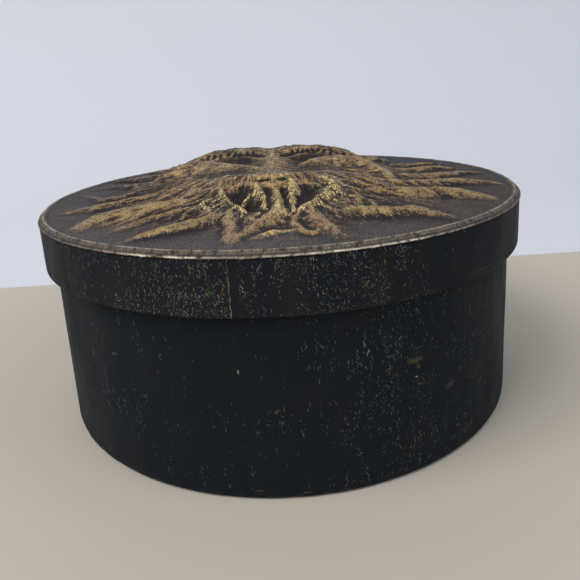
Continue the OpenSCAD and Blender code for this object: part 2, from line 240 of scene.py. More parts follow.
# =================================================================== relief
# A lion's mask, seen upright from the front of the box. Heights in mm above the field.
# The broad form: rows from the chin to the back of the head, columns from left to right.
LOFT_X0, LOFT_DX = -60.0, 10.0
LOFT_Y = [-84, -75, -66, -58, -48, -40, -32, -26, -22, -14, -4, 5, 12, 20, 28, 38, 48, 60, 72, 84]
LOFT = [
    [0, 0, 0, 0, 0, 0, 0, 0, 0, 0, 0, 0, 0],
    [0, 0, 0, 0, .1, .2, .3, .3, .1, 0, 0, 0, 0],
    [0, 0, .2, .5, .9, 1.1, 1.2, 1.2, .9, .5, .2, 0, 0],
    [0, .2, .7, 1.3, 2.0, 2.2, 2.2, 2.2, 2.0, 1.3, .7, .2, 0],
    [.1, .6, 1.6, 2.9, 3.8, 3.2, 2.8, 3.2, 3.8, 2.9, 1.5, .5, 0],
    [.3, 1.1, 2.5, 4.4, 5.2, 3.6, 3.2, 3.6, 5.2, 4.3, 2.3, .8, .1],
    [.4, 1.5, 3.3, 5.6, 7.2, 6.4, 6.2, 6.4, 6.9, 5.2, 2.9, 1.1, .3],
    [.5, 1.7, 3.7, 6.0, 8.1, 8.4, 8.6, 8.4, 7.7, 5.8, 3.3, 1.3, .3],
    [.6, 1.9, 4.0, 6.3, 8.3, 8.6, 8.9, 8.6, 8.0, 6.1, 3.6, 1.5, .4],
    [.8, 2.3, 4.6, 6.7, 8.1, 8.5, 8.9, 8.5, 7.9, 6.4, 4.1, 1.8, .6],
    [1, 2.8, 5.3, 7.1, 8.2, 8.8, 9.4, 8.8, 8.1, 6.8, 4.5, 2.1, .7],
    [1.3, 3.3, 6.0, 7.8, 8.7, 9.4, 10.2, 9.4, 8.7, 7.5, 5.1, 2.5, .8],
    [.9, 2.8, 6.9, 9.2, 9.6, 10.1, 11.3, 10.1, 9.5, 8.0, 4.8, 1.8, .5],
    [.8, 3.0, 8.8, 12.9, 13.6, 13.6, 13.7, 13.6, 12.8, 10.6, 5.2, 1.8, .5],
    [.7, 2.6, 7.8, 12.0, 13.2, 13.3, 13.4, 13.2, 12.2, 9.6, 4.6, 1.6, .4],
    [.4, 1.6, 5.0, 9.0, 10.6, 10.8, 10.8, 10.6, 9.6, 7.2, 3.4, 1.2, .3],
    [.7, 1.9, 3.9, 5.9, 7.1, 7.6, 7.6, 7.4, 6.4, 4.6, 2.5, 1.0, .3],
    [.2, .8, 1.6, 2.5, 3.1, 3.4, 3.4, 3.3, 2.5, 1.6, .7, .2, 0],
    [0, .1, .3, .6, .8, .9, .9, .8, .6, .3, .1, 0, 0],
    [0, 0, 0, 0, 0, 0, 0, 0, 0, 0, 0, 0, 0],
]
# Folds of the mane: crest from root to tip, half-widths in front of it, heights, gilding
MANE = [
    ([(-20, -55), (-25, -61), (-31, -64), (-37, -66), (-45, -71)], [9, 9, 8, 6, 2], [3.0, 3.4, 3.1, 2.1, 0.2], .45),
    ([(-30, -38), (-40, -42), (-49, -43), (-57, -45), (-66, -54)], [15, 17, 16, 12, 4], [5.2, 4.7, 4.0, 3.0, 0.2], .75),
    ([(-30, -46), (-38, -49), (-44, -51), (-48, -55), (-53, -59)], [8, 8, 8, 6, 2], [3.8, 2.7, 1.9, 1.0, 0.1], .35),
    ([(-42, -14), (-55, -20), (-64, -22), (-71, -26), (-80, -28)], [10, 9, 8, 6, 2], [4.2, 2.9, 2.1, 1.4, 0.2], .25),
    ([(-45, -1), (-54, -4), (-61, -8), (-68, -8), (-77, 2), (-84, 9)], [8, 7, 5, 4, 3, 1.2], [4.0, 2.9, 2.1, 1.4, .9, 0.2], -.1),
    ([(-47, 12), (-60, 16), (-70, 20), (-79, 19)], [10, 8, 6, 2], [4, 2.4, 1.4, 0.2], .0),
    ([(-49, 27), (-59, 33), (-68, 36), (-77, 36)], [11, 9, 6, 2], [4.4, 3.0, 1.9, 0.2], -.1),
    ([(-45, 42), (-53, 49), (-59, 53), (-64, 53)], [11, 8, 5, 2], [4.6, 3.5, 2.1, 0.3], -.1),
    ([(-29, 50), (-37, 60), (-41, 68), (-38, 76)], [10, 9, 7, 2], [5.2, 3.4, 2.0, 0.2], .2),
    ([(-12, 54), (-15, 66), (-15, 75), (-21, 82)], [10, 9, 7, 2], [5.0, 3.0, 1.8, 0.2], .2),
    ([(8, 54), (9, 67), (7, 76), (12, 83)], [10, 9, 7, 2], [5.0, 3.0, 1.8, 0.2], .2),
    ([(24, 51), (31, 62), (36, 70), (33, 78)], [10, 9, 7, 2], [4.2, 2.2, 1.2, 0.2], -.5),
    ([(36, 43), (45, 51), (53, 57), (58, 64)], [9, 7, 5, 2], [3.2, 1.6, 0.9, 0.1], -.4),
    ([(42, 24), (52, 27), (61, 29), (70, 31), (78, 29)], [9, 7, 6, 4, 1.5], [3.6, 2.4, 2.0, 1.3, 0.2], .3),
    ([(44, 8), (53, 11), (61, 17), (70, 20), (79, 16)], [9, 7, 6, 4, 1.5], [4.0, 3.0, 2.3, 1.5, 0.2], .35),
    ([(44, -8), (54, -4), (66, 1), (76, 4), (85, 3)], [9, 7, 6, 4, 1.5], [3.8, 2.8, 2.1, 1.4, 0.2], .4),
    ([(42, -22), (56, -18), (67, -16), (75, -18), (83, -24)], [9, 8, 7, 5, 2], [3.8, 2.9, 2.2, 1.4, 0.2], .5),
    ([(34, -38), (47, -36), (55, -35), (62, -38), (71, -47)], [10, 11, 10, 8, 2.5], [4.6, 3.9, 3.4, 2.5, 0.2], .60),
    ([(22, -58), (31, -61), (39, -60), (45, -63), (51, -69)], [8, 9, 8, 6, 2], [3.8, 3.8, 3.0, 1.8, 0.2], .45),
]
# Beard and the foot of the mask
BEARD = [
    ([(-16, -48), (-15.5, -57), (-15, -66), (-14, -74), (-13, -82)], [4, 4, 4, 4, 5], [3.6, 3.1, 2.3, 1.5, 0.4], .9),
    ([(-1, -56), (-5, -63), (-9, -69), (-13, -77)], [7, 8, 7, 4], [4.0, 3.2, 2.2, 0.9], .6),
    ([(-7, -76), (-2, -73.5), (4, -72.5)], [2.5, 3.2, 2.5], [0.8, 1.4, 1.0], 1.3),
    ([(6, -55), (3.8, -63), (4.4, -70), (7, -75.5), (10, -76), (12, -71)], [3, 2.8, 2.6, 2.4, 2.4, 2], [3.4, 2.7, 2.1, 1.6, 1.4, 1.2], .55),
    ([(9, -55), (10, -64), (13, -72), (16, -78), (19, -83)], [7, 7.5, 8, 7, 4], [4.0, 3.6, 2.6, 1.4, 0.3], .15),
    ([(-22, -34), (-24, -44), (-22, -52), (-20, -60)], [7, 8, 7, 4], [5.4, 4.9, 3.6, 1.6], .5),
    ([(22, -32), (25, -43), (24, -52), (21, -60)], [8, 9, 8, 4], [6.2, 4.9, 3.6, 1.6], .5),
    ([(-7, -54), (-9, -62), (-8, -69)], [3.4, 3.6, 2.4], [2.9, 2.2, 1.0], .1),
    ([(29, -50), (30, -58), (34, -66)], [5, 5, 3], [3.4, 2.3, 0.7], .2),
    ([(-27, -46), (-30, -53), (-29, -60)], [5, 5, 3], [3.9, 3.0, 1.2], .1),
]


def loft(x, y):
    rows = np.array(LOFT, float)
    ys = np.array(LOFT_Y, float)
    cols = rows.shape[1]
    fx = np.clip((x - LOFT_X0) / LOFT_DX, 0, cols - 1.001)
    i = fx.astype(int)
    f = fx - i
    wx = [0.5 * (-f ** 3 + 2 * f * f - f), 0.5 * (3 * f ** 3 - 5 * f * f + 2), 0.5 * (-3 * f ** 3 + 4 * f * f + f), 0.5 * (f ** 3 - f * f)]
    k = np.clip(np.searchsorted(ys, y, side="right") - 1, 0, len(ys) - 2)

    def row(j):
        j = np.clip(j, 0, len(ys) - 1)
        return sum(w * rows[j, np.clip(i + o - 1, 0, cols - 1)] for o, w in enumerate(wx))

    za, zb, zc, zd = row(k - 1), row(k), row(k + 1), row(k + 2)
    ya, yb, yc, yd = ys[np.clip(k - 1, 0, None)], ys[k], ys[k + 1], ys[np.clip(k + 2, None, len(ys) - 1)]
    dy = yc - yb
    t = np.clip((y - yb) / dy, 0, 1)
    mb, mc = (zc - za) / (yc - ya), (zd - zb) / (yd - yb)
    z = (2 * t ** 3 - 3 * t * t + 1) * zb + (t ** 3 - 2 * t * t + t) * dy * mb + (3 * t * t - 2 * t ** 3) * zc + (t ** 3 - t * t) * dy * mc
    fade = sstep(-66, -58, x) * sstep(-66, -58, -x)
    return np.maximum(z, 0) * fade


def top(a, b, k=0.45):
    """the higher of two forms, with the valley between them filled a little"""
    m = np.maximum(a, b)
    return m + k * np.log1p(np.exp(-np.abs(a - b) / k)) * np.clip(np.minimum(a, b) / 0.8, 0, 1)


class Form:
    """the relief as it is built up: height z, gilding g, and b for the rubbed-bright places that also carry painted
    glints
    """

    def __init__(self, x, y):
        self.x, self.y = x, y
        self.z = loft(x, y)
        self.g = np.zeros(x.shape)
        self.b = np.zeros(x.shape)

    def bar(self, pts, w, h, gold=0.0, polish_and_glints=0.0, drop=None, skew=0.2, k=0.45, n=18, crisp=0.45):
        """A fold with its crest at the heights h. drop is how far its sides fall; they reach the field if it is None.
        skew makes the side towards the viewer steeper than the far one."""
        x, y = self.x, self.y
        c = spline(pts, n)
        pad = max(w) * (1 + abs(skew)) + 1
        near = (x > c[:, 0].min() - pad) & (x < c[:, 0].max() + pad) & (y > c[:, 1].min() - pad) & (y < c[:, 1].max() + pad)
        if not near.any():
            return
        px, py = x[near], y[near]
        d, t, s = trace(px, py, pts, n)
        cy = np.interp(t, np.linspace(0, 1, n), c[:, 1])
        back = np.clip((py - cy) / np.maximum(d, 0.3), -1, 1)
        W = table(w, t) * (1 + skew * back)
        q = np.clip(d / np.maximum(W, 0.3), 0, 3)
        H = table(h, t)
        D = H if drop is None else np.minimum(drop, H)
        qc = np.clip(q, 0, 1)
        f = (1 - crisp) * (1 - qc * qc) ** 2 + crisp * (1 - qc) ** 1.7
        z = H - D * (1 - f) - 3.0 * np.clip(q - 1, 0, None)
        old = self.z[near]
        self.z[near] = top(old, z, k)
        m = np.clip((z - old + 0.5) / 0.5, 0, 1) * (q < 1)
        shine = np.clip(1.45 - q * np.where(back < 0, 1.05, 2.1), 0, 1) * m
        self.g[near] += gold * shine * (1 - 0.5 * np.clip(self.g[near], 0, 1))
        self.b[near] = np.maximum(self.b[near], polish_and_glints * shine)

    def dent(self, cx, cy, rx, ry, depth, e=2.0, k=1.2, rot=0.0, dark=0.0):
        v = hill(self.x, self.y, cx, cy, rx, ry, e, k, rot)
        self.z -= depth * v
        if dark:
            self.g = self.g - dark * np.clip(v * 2.5, 0, 1)


def relief(x0, y0):
    """height above the field, hair coordinates, gilding, rubbed-bright places with painted glints, and the grey film of
    dirt and painted sheen
    """
    # the hand-worked lines wander
    x = x0 + 1.3 * fbm(x0 / 11, y0 / 11, 201, 2) + 0.7 * fbm(x0 / 3.1, y0 / 3.1, 205, 2)
    y = y0 + 1.3 * fbm(x0 / 11 + 9, y0 / 11, 211, 2) + 0.7 * fbm(x0 / 3.1 + 9, y0 / 3.1, 215, 2)
    F = Form(x, y)
    r = np.hypot(x0, y0)
    for p, w, h, g in MANE:
        F.bar(p, [1.14 * v for v in w], h, gold=g, skew=0.42, k=0.5)
    for p, w, h, g in BEARD:
        F.bar(p, w, h, gold=g, skew=0.05, k=0.35)
    # ---- ears, half lost in the mane
    for sx, cx in ((-1, -38), (1, 35)):
        e = -1.2 if sx < 0 else -2.2
        F.bar([(cx + sx * 5, 26), (cx + sx * 9, 33), (cx + sx * 5, 41), (cx - sx * 3, 43)], [4.4, 4.6, 4.4, 3.4],
              [7.2 + e, 8.0 + e, 7.4 + e, 6.6 + e], gold=.4, drop=2.0)
        F.dent(cx + sx * 1, 34, 6, 6.5, 1.6, dark=.5)
    # ---- brow: two bosses and the furrow between them
    F.dent(-2, 27, 4.5, 13, 1.1, 2, 1.5)
    F.bar([(-7, 16), (-14, 19.5), (-24, 20), (-33, 17), (-41, 12)], [6, 7, 7, 6.5, 5], [12.8, 13.5, 13.5, 12.2, 9.2], gold=.15, drop=3.0, skew=-0.2)
    F.bar([(3, 16), (11, 19.5), (21, 20), (29, 16.5), (36, 11)], [6, 7, 7, 6.5, 5], [12.8, 13.5, 13.1, 11.2, 8.4], gold=.1, drop=3.0, skew=-0.2)
    # eye sockets, eyeballs and lids
    for sx, cx in ((-1, -17), (1, 14.5)):
        F.dent(cx, 9.5, 13, 6.8, 2.4, 2.4, .9, sx * -6, dark=1.0)
        F.dent(cx, 10.0, 6.4, 3.9, -1.9, 2, .8)
        F.bar([(cx - sx * 11, 7.5), (cx - sx * 6, 13.4), (cx, 15.4), (cx + sx * 7, 14.6), (cx + sx * 12, 10.5)], [2.4, 2.6, 2.8, 2.6, 2.2],
              [10.4, 11.5, 11.8, 11.6, 10.2], gold=.9, drop=1.2, skew=0)
        F.bar([(cx - sx * 9, 6.4), (cx - sx * 3, 5.2), (cx + sx * 4, 5.8), (cx + sx * 11, 9)], [2, 2.2, 2.2, 2],
              [9.4, 9.3, 9.2, 9.2], gold=.3, drop=0.7, skew=0)
    # bridge of the nose
    F.bar([(-2, 19), (-2, 10), (-2, 0), (-2, -12), (-2, -22)], [6.5, 7, 8, 10, 12], [12.9, 12.3, 11.3, 10.4, 9.9], gold=.55, drop=2.0, skew=0, k=.6)
    # cheekbones
    F.bar([(-48, 8), (-41, 11), (-33, 13), (-26, 10), (-18, 3), (-10, -5), (-5, -12)], [8, 10, 11, 10, 8, 7, 5],
          [6.0, 8.6, 10.3, 10.9, 10.4, 9.8, 9.4], gold=.7, drop=3.0, skew=-0.4, k=.5)
    F.bar([(9, -5), (15, 2), (22, 6), (29, 5), (35, 0), (40, -9), (42, -19)], [5, 8, 9.5, 9.5, 9, 8, 5],
          [9.6, 10.7, 11.1, 10.6, 9.2, 6.4, 3.8], gold=.75, drop=3.0, skew=-0.4, k=.5)
    # muzzle: two pads, the nose pad between them
    F.bar([(-6, -23), (-13, -22), (-19, -22), (-25, -24), (-32, -31)], [8, 9, 9, 8, 6], [9.4, 9.5, 9.3, 7.7, 4.8], gold=.0, drop=2.4, skew=-0.1)
    F.bar([(2, -23), (9, -22), (16, -21), (23, -20), (31, -23)], [8, 9, 9, 8, 6], [9.3, 9.1, 8.9, 7.9, 5.2], gold=.0, drop=2.4, skew=-0.1)
    F.bar([(-8, -25.5), (-2, -27), (4, -25.5)], [4.4, 5.4, 4.4], [9.7, 10.0, 9.7], gold=.35, drop=2.0, skew=0)
    # ---- mouth: the opening, lips, teeth and tongue
    for sx, cx in ((-1, -11.8), (1, 9.8)):
        F.dent(cx, -42, 5.8, 10.5, 2.1, 3, .8, sx * -8, dark=1.0)
    F.dent(-2, -47, 11, 9, 1.2, 3, 1, dark=.8)
    F.bar([(-20, -26), (-20.5, -33), (-18.5, -39), (-15.5, -46), (-11.5, -53)], [4, 4, 3.6, 3, 2.4], [8.2, 7.2, 6.1, 4.9, 3.8], gold=.8, polish_and_glints=.5, drop=2.4, skew=0)
    F.bar([(16.5, -25), (18, -32), (17, -39), (13, -47), (6, -56)], [5, 6, 6, 4.4, 2.6], [8.4, 7.6, 6.6, 5.2, 4.0], gold=.9, polish_and_glints=.7, drop=2.4, skew=0)
    F.bar([(-7.6, -32), (-6.8, -40), (-5.8, -47), (-4.8, -55)], [4, 4, 3, 1.4], [8.4, 7.6, 5.9, 3.6], gold=1.1, polish_and_glints=0.75, drop=3.6, skew=0)
    F.bar([(4.4, -31), (4.8, -39), (4.4, -47), (3.4, -57)], [4.4, 4.4, 3.2, 1.5], [8.9, 7.8, 6.0, 3.6], gold=1.3, polish_and_glints=1.05, drop=3.8, skew=0)
    F.bar([(-1.6, -32), (-1.4, -41), (-1.0, -49), (-1.0, -58)], [3, 3.4, 4.4, 6.5], [7.6, 6.6, 5.5, 4.1], gold=1.0, polish_and_glints=.4, drop=3.0, skew=0)
    F.bar([(-9.8, -35), (-10.8, -42), (-12.6, -49)], [1.5, 1.5, 1.3], [5.8, 4.8, 3.8], gold=1.2, polish_and_glints=0.8, drop=1.2, skew=0, k=.2)
    for cx in (-5.0, 1.2):
        F.dent(cx, -30.4, 2.1, 1.5, 1.2, 2, 1, dark=2.4)
    # ---- hair: locks and strands streaming out from the muzzle
    ang = np.arctan2(y0 + 6, x0 + 2)
    rad = np.hypot(x0 + 2, y0 + 6)
    s = ang * 36 + 1.6 * fbm(x0 / 9, y0 / 9, 11) + 1.2 * np.sin(rad / 8 + 3 * ang)
    t = rad
    face = np.clip(hill(x0, y0, -2, 0, 38, 27, 4, 1) * 1.5, 0, 1)
    mouth = np.clip(hill(x0, y0, -2, -43, 17, 17, 3, 1) * 1.5, 0, 1)
    hairy = np.clip(F.z / 1.6, 0, 1) * (1 - 0.85 * face) * (1 - 0.55 * mouth)
    locks = 1 - 2 * np.abs(vnoise(s / 3.6, t / 15, 3))
    strand = (1 - 2 * np.abs(vnoise(s / 1.25, t / 6.5, 5))) * 0.6 + (1 - 2 * np.abs(vnoise(s / 0.7 + 40, t / 4.0, 6))) * 0.4
    z = F.z + (0.45 * (locks - 0.45) * np.clip((F.z - 1.5) / 3, 0, 1) + 0.32 * (strand - 0.2)) * hairy
    # deep strands down both flanks of the muzzle
    flank = np.clip(1.4 * (hill(x0, y0, -34, -27, 17, 19, 2, 1) + hill(x0, y0, 35, -24, 16, 21, 2, 1)), 0, 1)
    cut = 1 - 2 * np.abs(vnoise(s / 2.1 + 7, t / 10, 23))
    z = z + 0.95 * (cut - 0.5) * flank
    # coarse tooling over the face
    rough = fbm(x0 / 2.3, y0 / 1.9, 57, 3)
    z = z + 0.22 * rough * (0.15 + 0.85 * np.clip(mouth + 0.4 * face, 0, 1)) * np.clip(F.z / 2, 0, 1)
    flute = (1 - 2 * np.abs(vnoise(s / 1.05 + 11, t / 7, 71))) * 0.6 + (1 - 2 * np.abs(vnoise(x0 / 0.8, y0 / 4, 73))) * 0.4
    front = np.clip(1.5 * hill(x0, y0, -2, -44, 40, 26, 3, 1), 0, 1) * np.clip(F.z / 1.5, 0, 1)
    z = z + 0.34 * (flute - 0.35) * front
    # brow hairs: short upright nicks
    nick = np.zeros(x.shape)
    for cx, cy in [(-34, 14.6), (-31.4, 15.8), (-29, 16.6), (-26.3, 17.2), (-23.8, 17.6), (-20.6, 17.8), (-17.8, 17.9), (-15.6, 17.7), (-12.4, 17.4), (-9.8, 16.6),
                   (6.4, 16.8), (8.6, 17.2), (10.8, 17.4), (13.0, 17.5), (15.2, 17.5), (17.4, 17.4), (19.8, 17.1), (22.4, 16.4), (25, 15.6), (28, 14)]:
        nick = np.maximum(nick, hill(x0, y0, cx, cy - 1.7 + 0.7 * math.sin(cx * 3), 0.9, 2.1, 2, .8, math.sin(cx * 5) * 16))
    z = z - 0.55 * nick
    # puckers of the pressed sheet, creases across the muzzle
    flat = np.exp(-(z / 1.6) ** 2)
    z = z + flat * (0.14 * fbm(x0 / 6, y0 / 4, 31, 4) + 0.10 * np.abs(fbm(x0 / 9, y0 / 3.2, 41, 3)))
    crease = 1 - 3 * np.abs(fbm(x0 / 8 + 9, y0 / 2.4, 45, 2))
    z = z + 0.28 * np.clip(crease, -1, 1) * hill(x0, y0, -2, -20, 36, 8, 4, 1)
    z = np.maximum(z, -0.10) * np.clip((86.2 - r) / 3, 0, 1)
    # gilding: where the brush reached, by region
    def spot(cx, cy, rx, ry, rot=0.0):
        return hill(x0, y0, cx, cy, rx, ry, 2, 1, rot)
    g = F.g * (0.9 + 0.5 * rough) - 1.8 * nick
    g = g - 0.5 * spot(62, 42, 34, 24)
    g = g + 0.85 * spot(0, -48, 34, 34) + 0.45 * spot(-52, -48, 26, 16, 10) + 0.50 * spot(58, -39, 24, 13) + 0.75 * spot(-2, -2, 9, 26)
    g = g + 0.80 * spot(-28, 5, 24, 13, 12) + 0.55 * spot(26, -2, 20, 12, -20) + 0.35 * spot(-2, -28, 30, 12) + 0.30 * spot(62, 2, 26, 24) + 0.25 * spot(0, 20, 44, 10)
    g = g + 0.75 * spot(-36, -24, 20, 16) + 0.6 * spot(34, -26, 18, 18)
    g = g - 0.55 * spot(-70, 22, 34, 40) - 0.45 * spot(0, 62, 60, 34) - 0.6 * spot(50, 52, 30, 26) - 0.35 * hill(x0, y0, -2, -21, 34, 4, 4, 1)
    # rubbed-bright gold on the teeth and lips, which also carries painted glints
    polish_and_glints = 1.2 * F.b + 1.2 * spot(-21, -46, 9, 8) + 0.9 * spot(17, -40, 10, 13) + 0.4 * spot(-2, -52, 18, 14) + 0.5 * spot(-12, -52, 8, 9) + 0.5 * spot(-2, -74, 8, 3)
    # where the grey film lies: settled dirt on the low ground and a painted sheen on level tops such as the muzzle
    # band; thinner towards the right, a painted shade
    dust_and_sheen = np.clip(np.exp(-(z / 1.0) ** 2) * (0.95 - 0.45 * sstep(10, 60, x0)) + 0.45 * hill(x0, y0, -2, -17, 36, 6, 4, 1) + 0.8 * spot(-70, 20, 36, 44) + 0.8 * spot(0, 64, 80, 40)
                   + 0.4 * spot(60, 10, 40, 44) + 0.4 * spot(-34, 16, 18, 6) + 0.5 * spot(38, 4, 12, 12) - 1.2 * spot(0, -48, 40, 26)
                   - 0.8 * spot(-34, -24, 20, 16), 0, 1)
    return z, s, t, g, polish_and_glints, dust_and_sheen, strand


def rim_slope(x, y, z):
    """slope of the grid towards the front"""
    zu, zv = np.gradient(z, axis=1), np.gradient(z, axis=0)
    xu, xv = np.gradient(x, axis=1), np.gradient(x, axis=0)
    yu, yv = np.gradient(y, axis=1), np.gradient(y, axis=0)
    det = xu * yv - xv * yu
    det = np.where(np.abs(det) < 1e-6, 1e-6, det)
    return (xu * zv - xv * zu) / det


def build_relief():
    n = 260
    a = np.linspace(-1, 1, n + 1)
    u, v = np.meshgrid(a, a)
    big = np.abs(u) >= np.abs(v)
    with np.errstate(divide="ignore", invalid="ignore"):
        phi = np.where(big, math.pi / 4 * (v / u), math.pi / 2 - math.pi / 4 * (u / v))
    phi = np.nan_to_num(phi)
    rr = np.where(big, u, v) * R_FIELD
    x, y = rr * np.cos(phi), rr * np.sin(phi)
    z, s, t, gild, polish_and_glints, dust_and_sheen, strand = relief(x, y)
    # the gilding was rubbed over the crests and missed the hollows
    near, mid, far = blur(z, 3), blur(z, 14), blur(z, 80)
    gold = gild + 0.60 * np.clip((z - near) / 0.07, -1.6, 1.6) + 0.27 * np.clip((near - mid) / 0.2, -1.6, 1.6)
    gold = gold + 0.18 * np.clip((mid - far) / 0.9, -1.5, 1.5) - 0.28
    # painted sheen: more gold on the slopes that face the front
    step_y = np.clip(rim_slope(x, y, near), -0.6, 0.6)
    gold = gold + 0.75 * step_y * np.clip(near / 1.5, 0, 1)
    # cav: how deep a point lies in a hollow; the material darkens the colour there, partly the dark patina in the
    # hollows and partly painted shade
    cav = np.clip((mid - z) / 0.30, 0, 1) * 0.6 + np.clip((far - mid) / 1.3, 0, 1) * 0.5
    pts = np.stack([x, y, Z_FIELD + z], -1).reshape(-1, 3)
    idx = np.arange((n + 1) ** 2).reshape(n + 1, n + 1)
    quads = np.stack([idx[:-1, :-1], idx[:-1, 1:], idx[1:, 1:], idx[1:, :-1]], -1).reshape(-1, 4)
    edge = np.concatenate([idx[0, :-1], idx[:-1, -1], idx[-1, :0:-1], idx[:0:-1, 0]])
    m = len(edge)
    # painted grey sheen along crests whose tops are level: the muzzle, the cheeks' upper edges, the folds at the left
    top_edge = np.clip((z - mid) / 0.35, 0, 1) * np.clip(1 - np.abs(step_y + 0.05) / 0.30, 0, 1) * np.clip(z / 1.5, 0, 1)
    where = (0.10 + 0.6 * hill(x, y, -2, -19, 38, 8, 4, 1) + 0.7 * hill(x, y, -60, 5, 50, 45, 3, 1) + 0.5 * hill(x, y, 30, 2, 20, 14, 2, 1)
             + 0.5 * hill(x, y, -30, 12, 24, 10, 2, 1) - 0.6 * hill(x, y, 0, -48, 34, 24, 3, 1))
    painted_sheen = top_edge * where * 1.3
    for line, w in (([(-36, -31), (-26, -24), (-19, -21), (-13, -21), (-6, -22.5), (2, -22.5), (9, -21), (16, -20), (23, -19), (31, -20), (38, -25)], 1.8),
                    ([(-50, 9), (-41, 12.5), (-33, 14.5), (-26, 11.5), (-18, 4.5), (-10, -3.5)], 1.3),
                    ([(15, 3.5), (22, 7.5), (29, 7), (35.5, 2), (40.5, -8), (43, -18)], 1.5)):
        d = trace(x, y, line)[0]
        painted_sheen = np.maximum(painted_sheen, 1.25 * np.exp(-(d / w) ** 2))
    painted_sheen = np.clip(painted_sheen, 0, 1)
    at = {"gold": gold.ravel(), "polish_and_glints": polish_and_glints.ravel(), "dust_and_sheen": dust_and_sheen.ravel(), "cav": np.clip(cav, 0, 1).ravel(),
          "s": s.ravel(), "t": t.ravel(), "h": z.ravel(), "painted_sheen": painted_sheen.ravel()}
    V, F = [pts], [quads]
    A = {k: [w] for k, w in at.items()}
    A["rim"] = [np.zeros(len(pts))]
    A["dash"] = [np.zeros(len(pts))]
    base = len(pts)
    ang0 = np.arctan2(pts[edge, 1], pts[edge, 0])
    ang = np.empty(2 * m)
    ang[0::2] = ang0
    ang[1::2] = ang0 + math.pi / m
    # border section: distance in from the edge, height from the rim plane, how light the line is (rubbed gilding and
    # painted highlight), 1 on the dashed band
    section = [(3.2, -0.06, .05, 0), (2.6, 0.12, .15, 0), (2.2, 0.38, .6, 0), (1.9, 0.46, 1, 0), (1.65, 0.38, .6, 0), (1.45, 0.1, .22, 1),
               (1.15, -0.12, .3, 1), (0.85, -0.36, .25, 1), (0.6, -0.62, .0, 0), (0.3, -0.86, .35, 0), (0.06, -1.02, 1.0, 0),
               (0.0, -1.22, .35, 0), (0.0, -1.4, 0, 0)]
    rings = []
    wob = fbm(np.cos(ang) * 9, np.sin(ang) * 9, 61, 3)
    deg = np.degrees(ang)
    # the pressed dashes are clear in places only
    clear = np.clip(0.25 + 0.9 * fbm(np.cos(ang) * 5, np.sin(ang) * 5, 67, 2) + np.exp(-((deg + 80) / 9) ** 2), 0, 1)
    for (d, h, rim, band) in section:
        k = (np.arange(2 * m) % 5)
        dash = np.where((k == 1) | (k == 2), 1.0, 0.0) * band
        hh = h - 0.22 * dash * clear + 0.06 * wob * (0.1 < d) + 0.03 * vnoise(ang * 200, ang * 0 + d, 71)
        chip = np.clip(fbm(ang * 26, ang * 0 + 3, 81, 3) - 0.12, 0, 1) * (d < 0.2)
        hh = hh - 0.45 * chip
        rad = R_LID - d - 0.25 * chip - 0.03 * (d < 0.3) * np.abs(vnoise(ang * 60, ang * 0, 83))
        V.append(np.stack([rad * np.cos(ang), rad * np.sin(ang), Z_RIM + hh], 1))
        A["gold"].append(np.full(2 * m, -0.6 if d > 1.8 else -0.45) + 0.9 * rim)
        A["s"].append(ang * 84)
        A["t"].append(np.full(2 * m, d))
        A["h"].append(np.zeros(2 * m))
        A["polish_and_glints"].append(np.zeros(2 * m))
        A["dust_and_sheen"].append(np.full(2 * m, 0.8 if d > 1.8 else 0.30))
        A["cav"].append(np.zeros(2 * m))
        A["painted_sheen"].append(np.zeros(2 * m))
        # the outer edge is rubbed bright and carries a painted highlight, most of all at the front; the inner line
        # along the top of the roll, also rubbed gilding and painted highlight, only a little
        outer = np.interp(deg, [-180, -146, -124, -119, -117, -106, -103, -96, -92, -88, -83, -68, -61, -50, -40, 0, 60, 120, 180],
                          [.3, .10, .18, .45, 1.0, 1.0, .5, .40, .45, .7, 1.0, 1.0, .45, .22, .2, .3, .4, .4, .3])
        A["rim"].append((rim * outer if d < 0.5 else rim * 0.38) * np.ones(2 * m))
        A["dash"].append(dash * clear)
        rings.append(base + np.arange(2 * m))
        base += 2 * m
    # stitch the square-grid edge to the first ring: each edge vertex faces two ring vertices
    first = rings[0]
    e, e2 = edge, np.roll(edge, -1)
    f0, f1, f2 = first[0::2], first[1::2], np.roll(first[0::2], -1)
    F.append(np.stack([e, f0, f1], 1))
    F.append(np.stack([e, f1, e2], 1))
    F.append(np.stack([e2, f1, f2], 1))
    for p, q in zip(rings[:-1], rings[1:]):
        F.append(np.stack([p, q, np.roll(q, -1), np.roll(p, -1)], 1))
    # flat back
    last = rings[-1]
    cnt = 2 * m // 4
    back_r = [R_LID - 3, R_LID - 12, 40, 12]
    prev, pa = last, ang
    br = []
    for r in back_r:
        aa = ang[0::4]
        V.append(np.stack([r * np.cos(aa), r * np.sin(aa), np.full(cnt, Z_PANEL)], 1))
        for key in A:
            A[key].append(np.full(cnt, -1.0 if key == "gold" else 0.0))
        br.append(base + np.arange(cnt))
        base += cnt
    V.append(np.array([[0, 0, Z_PANEL]]))
    for key in A:
        A[key].append(np.array([-1.0 if key == "gold" else 0.0]))
    centre = base
    o = last
    i0 = br[0]
    i1 = np.roll(i0, -1)
    o0, o1, o2, o3, o4 = o[0::4], o[1::4], o[2::4], o[3::4], np.roll(o[0::4], -1)
    F.append(np.stack([o1, o0, i0], 1))
    F.append(np.stack([o2, o1, i0], 1))
    F.append(np.stack([o2, i0, i1], 1))
    F.append(np.stack([o3, o2, i1], 1))
    F.append(np.stack([o4, o3, i1], 1))
    for p, q in zip(br[:-1], br[1:]):
        F.append(np.stack([np.roll(p, -1), p, q, np.roll(q, -1)], 1))
    F.append(np.stack([np.roll(br[-1], -1), br[-1], np.full(cnt, centre)], 1))
    ob = new_mesh("gilded_relief_top", np.concatenate(V), F, {k: np.concatenate(w) for k, w in A.items()})
    return ob


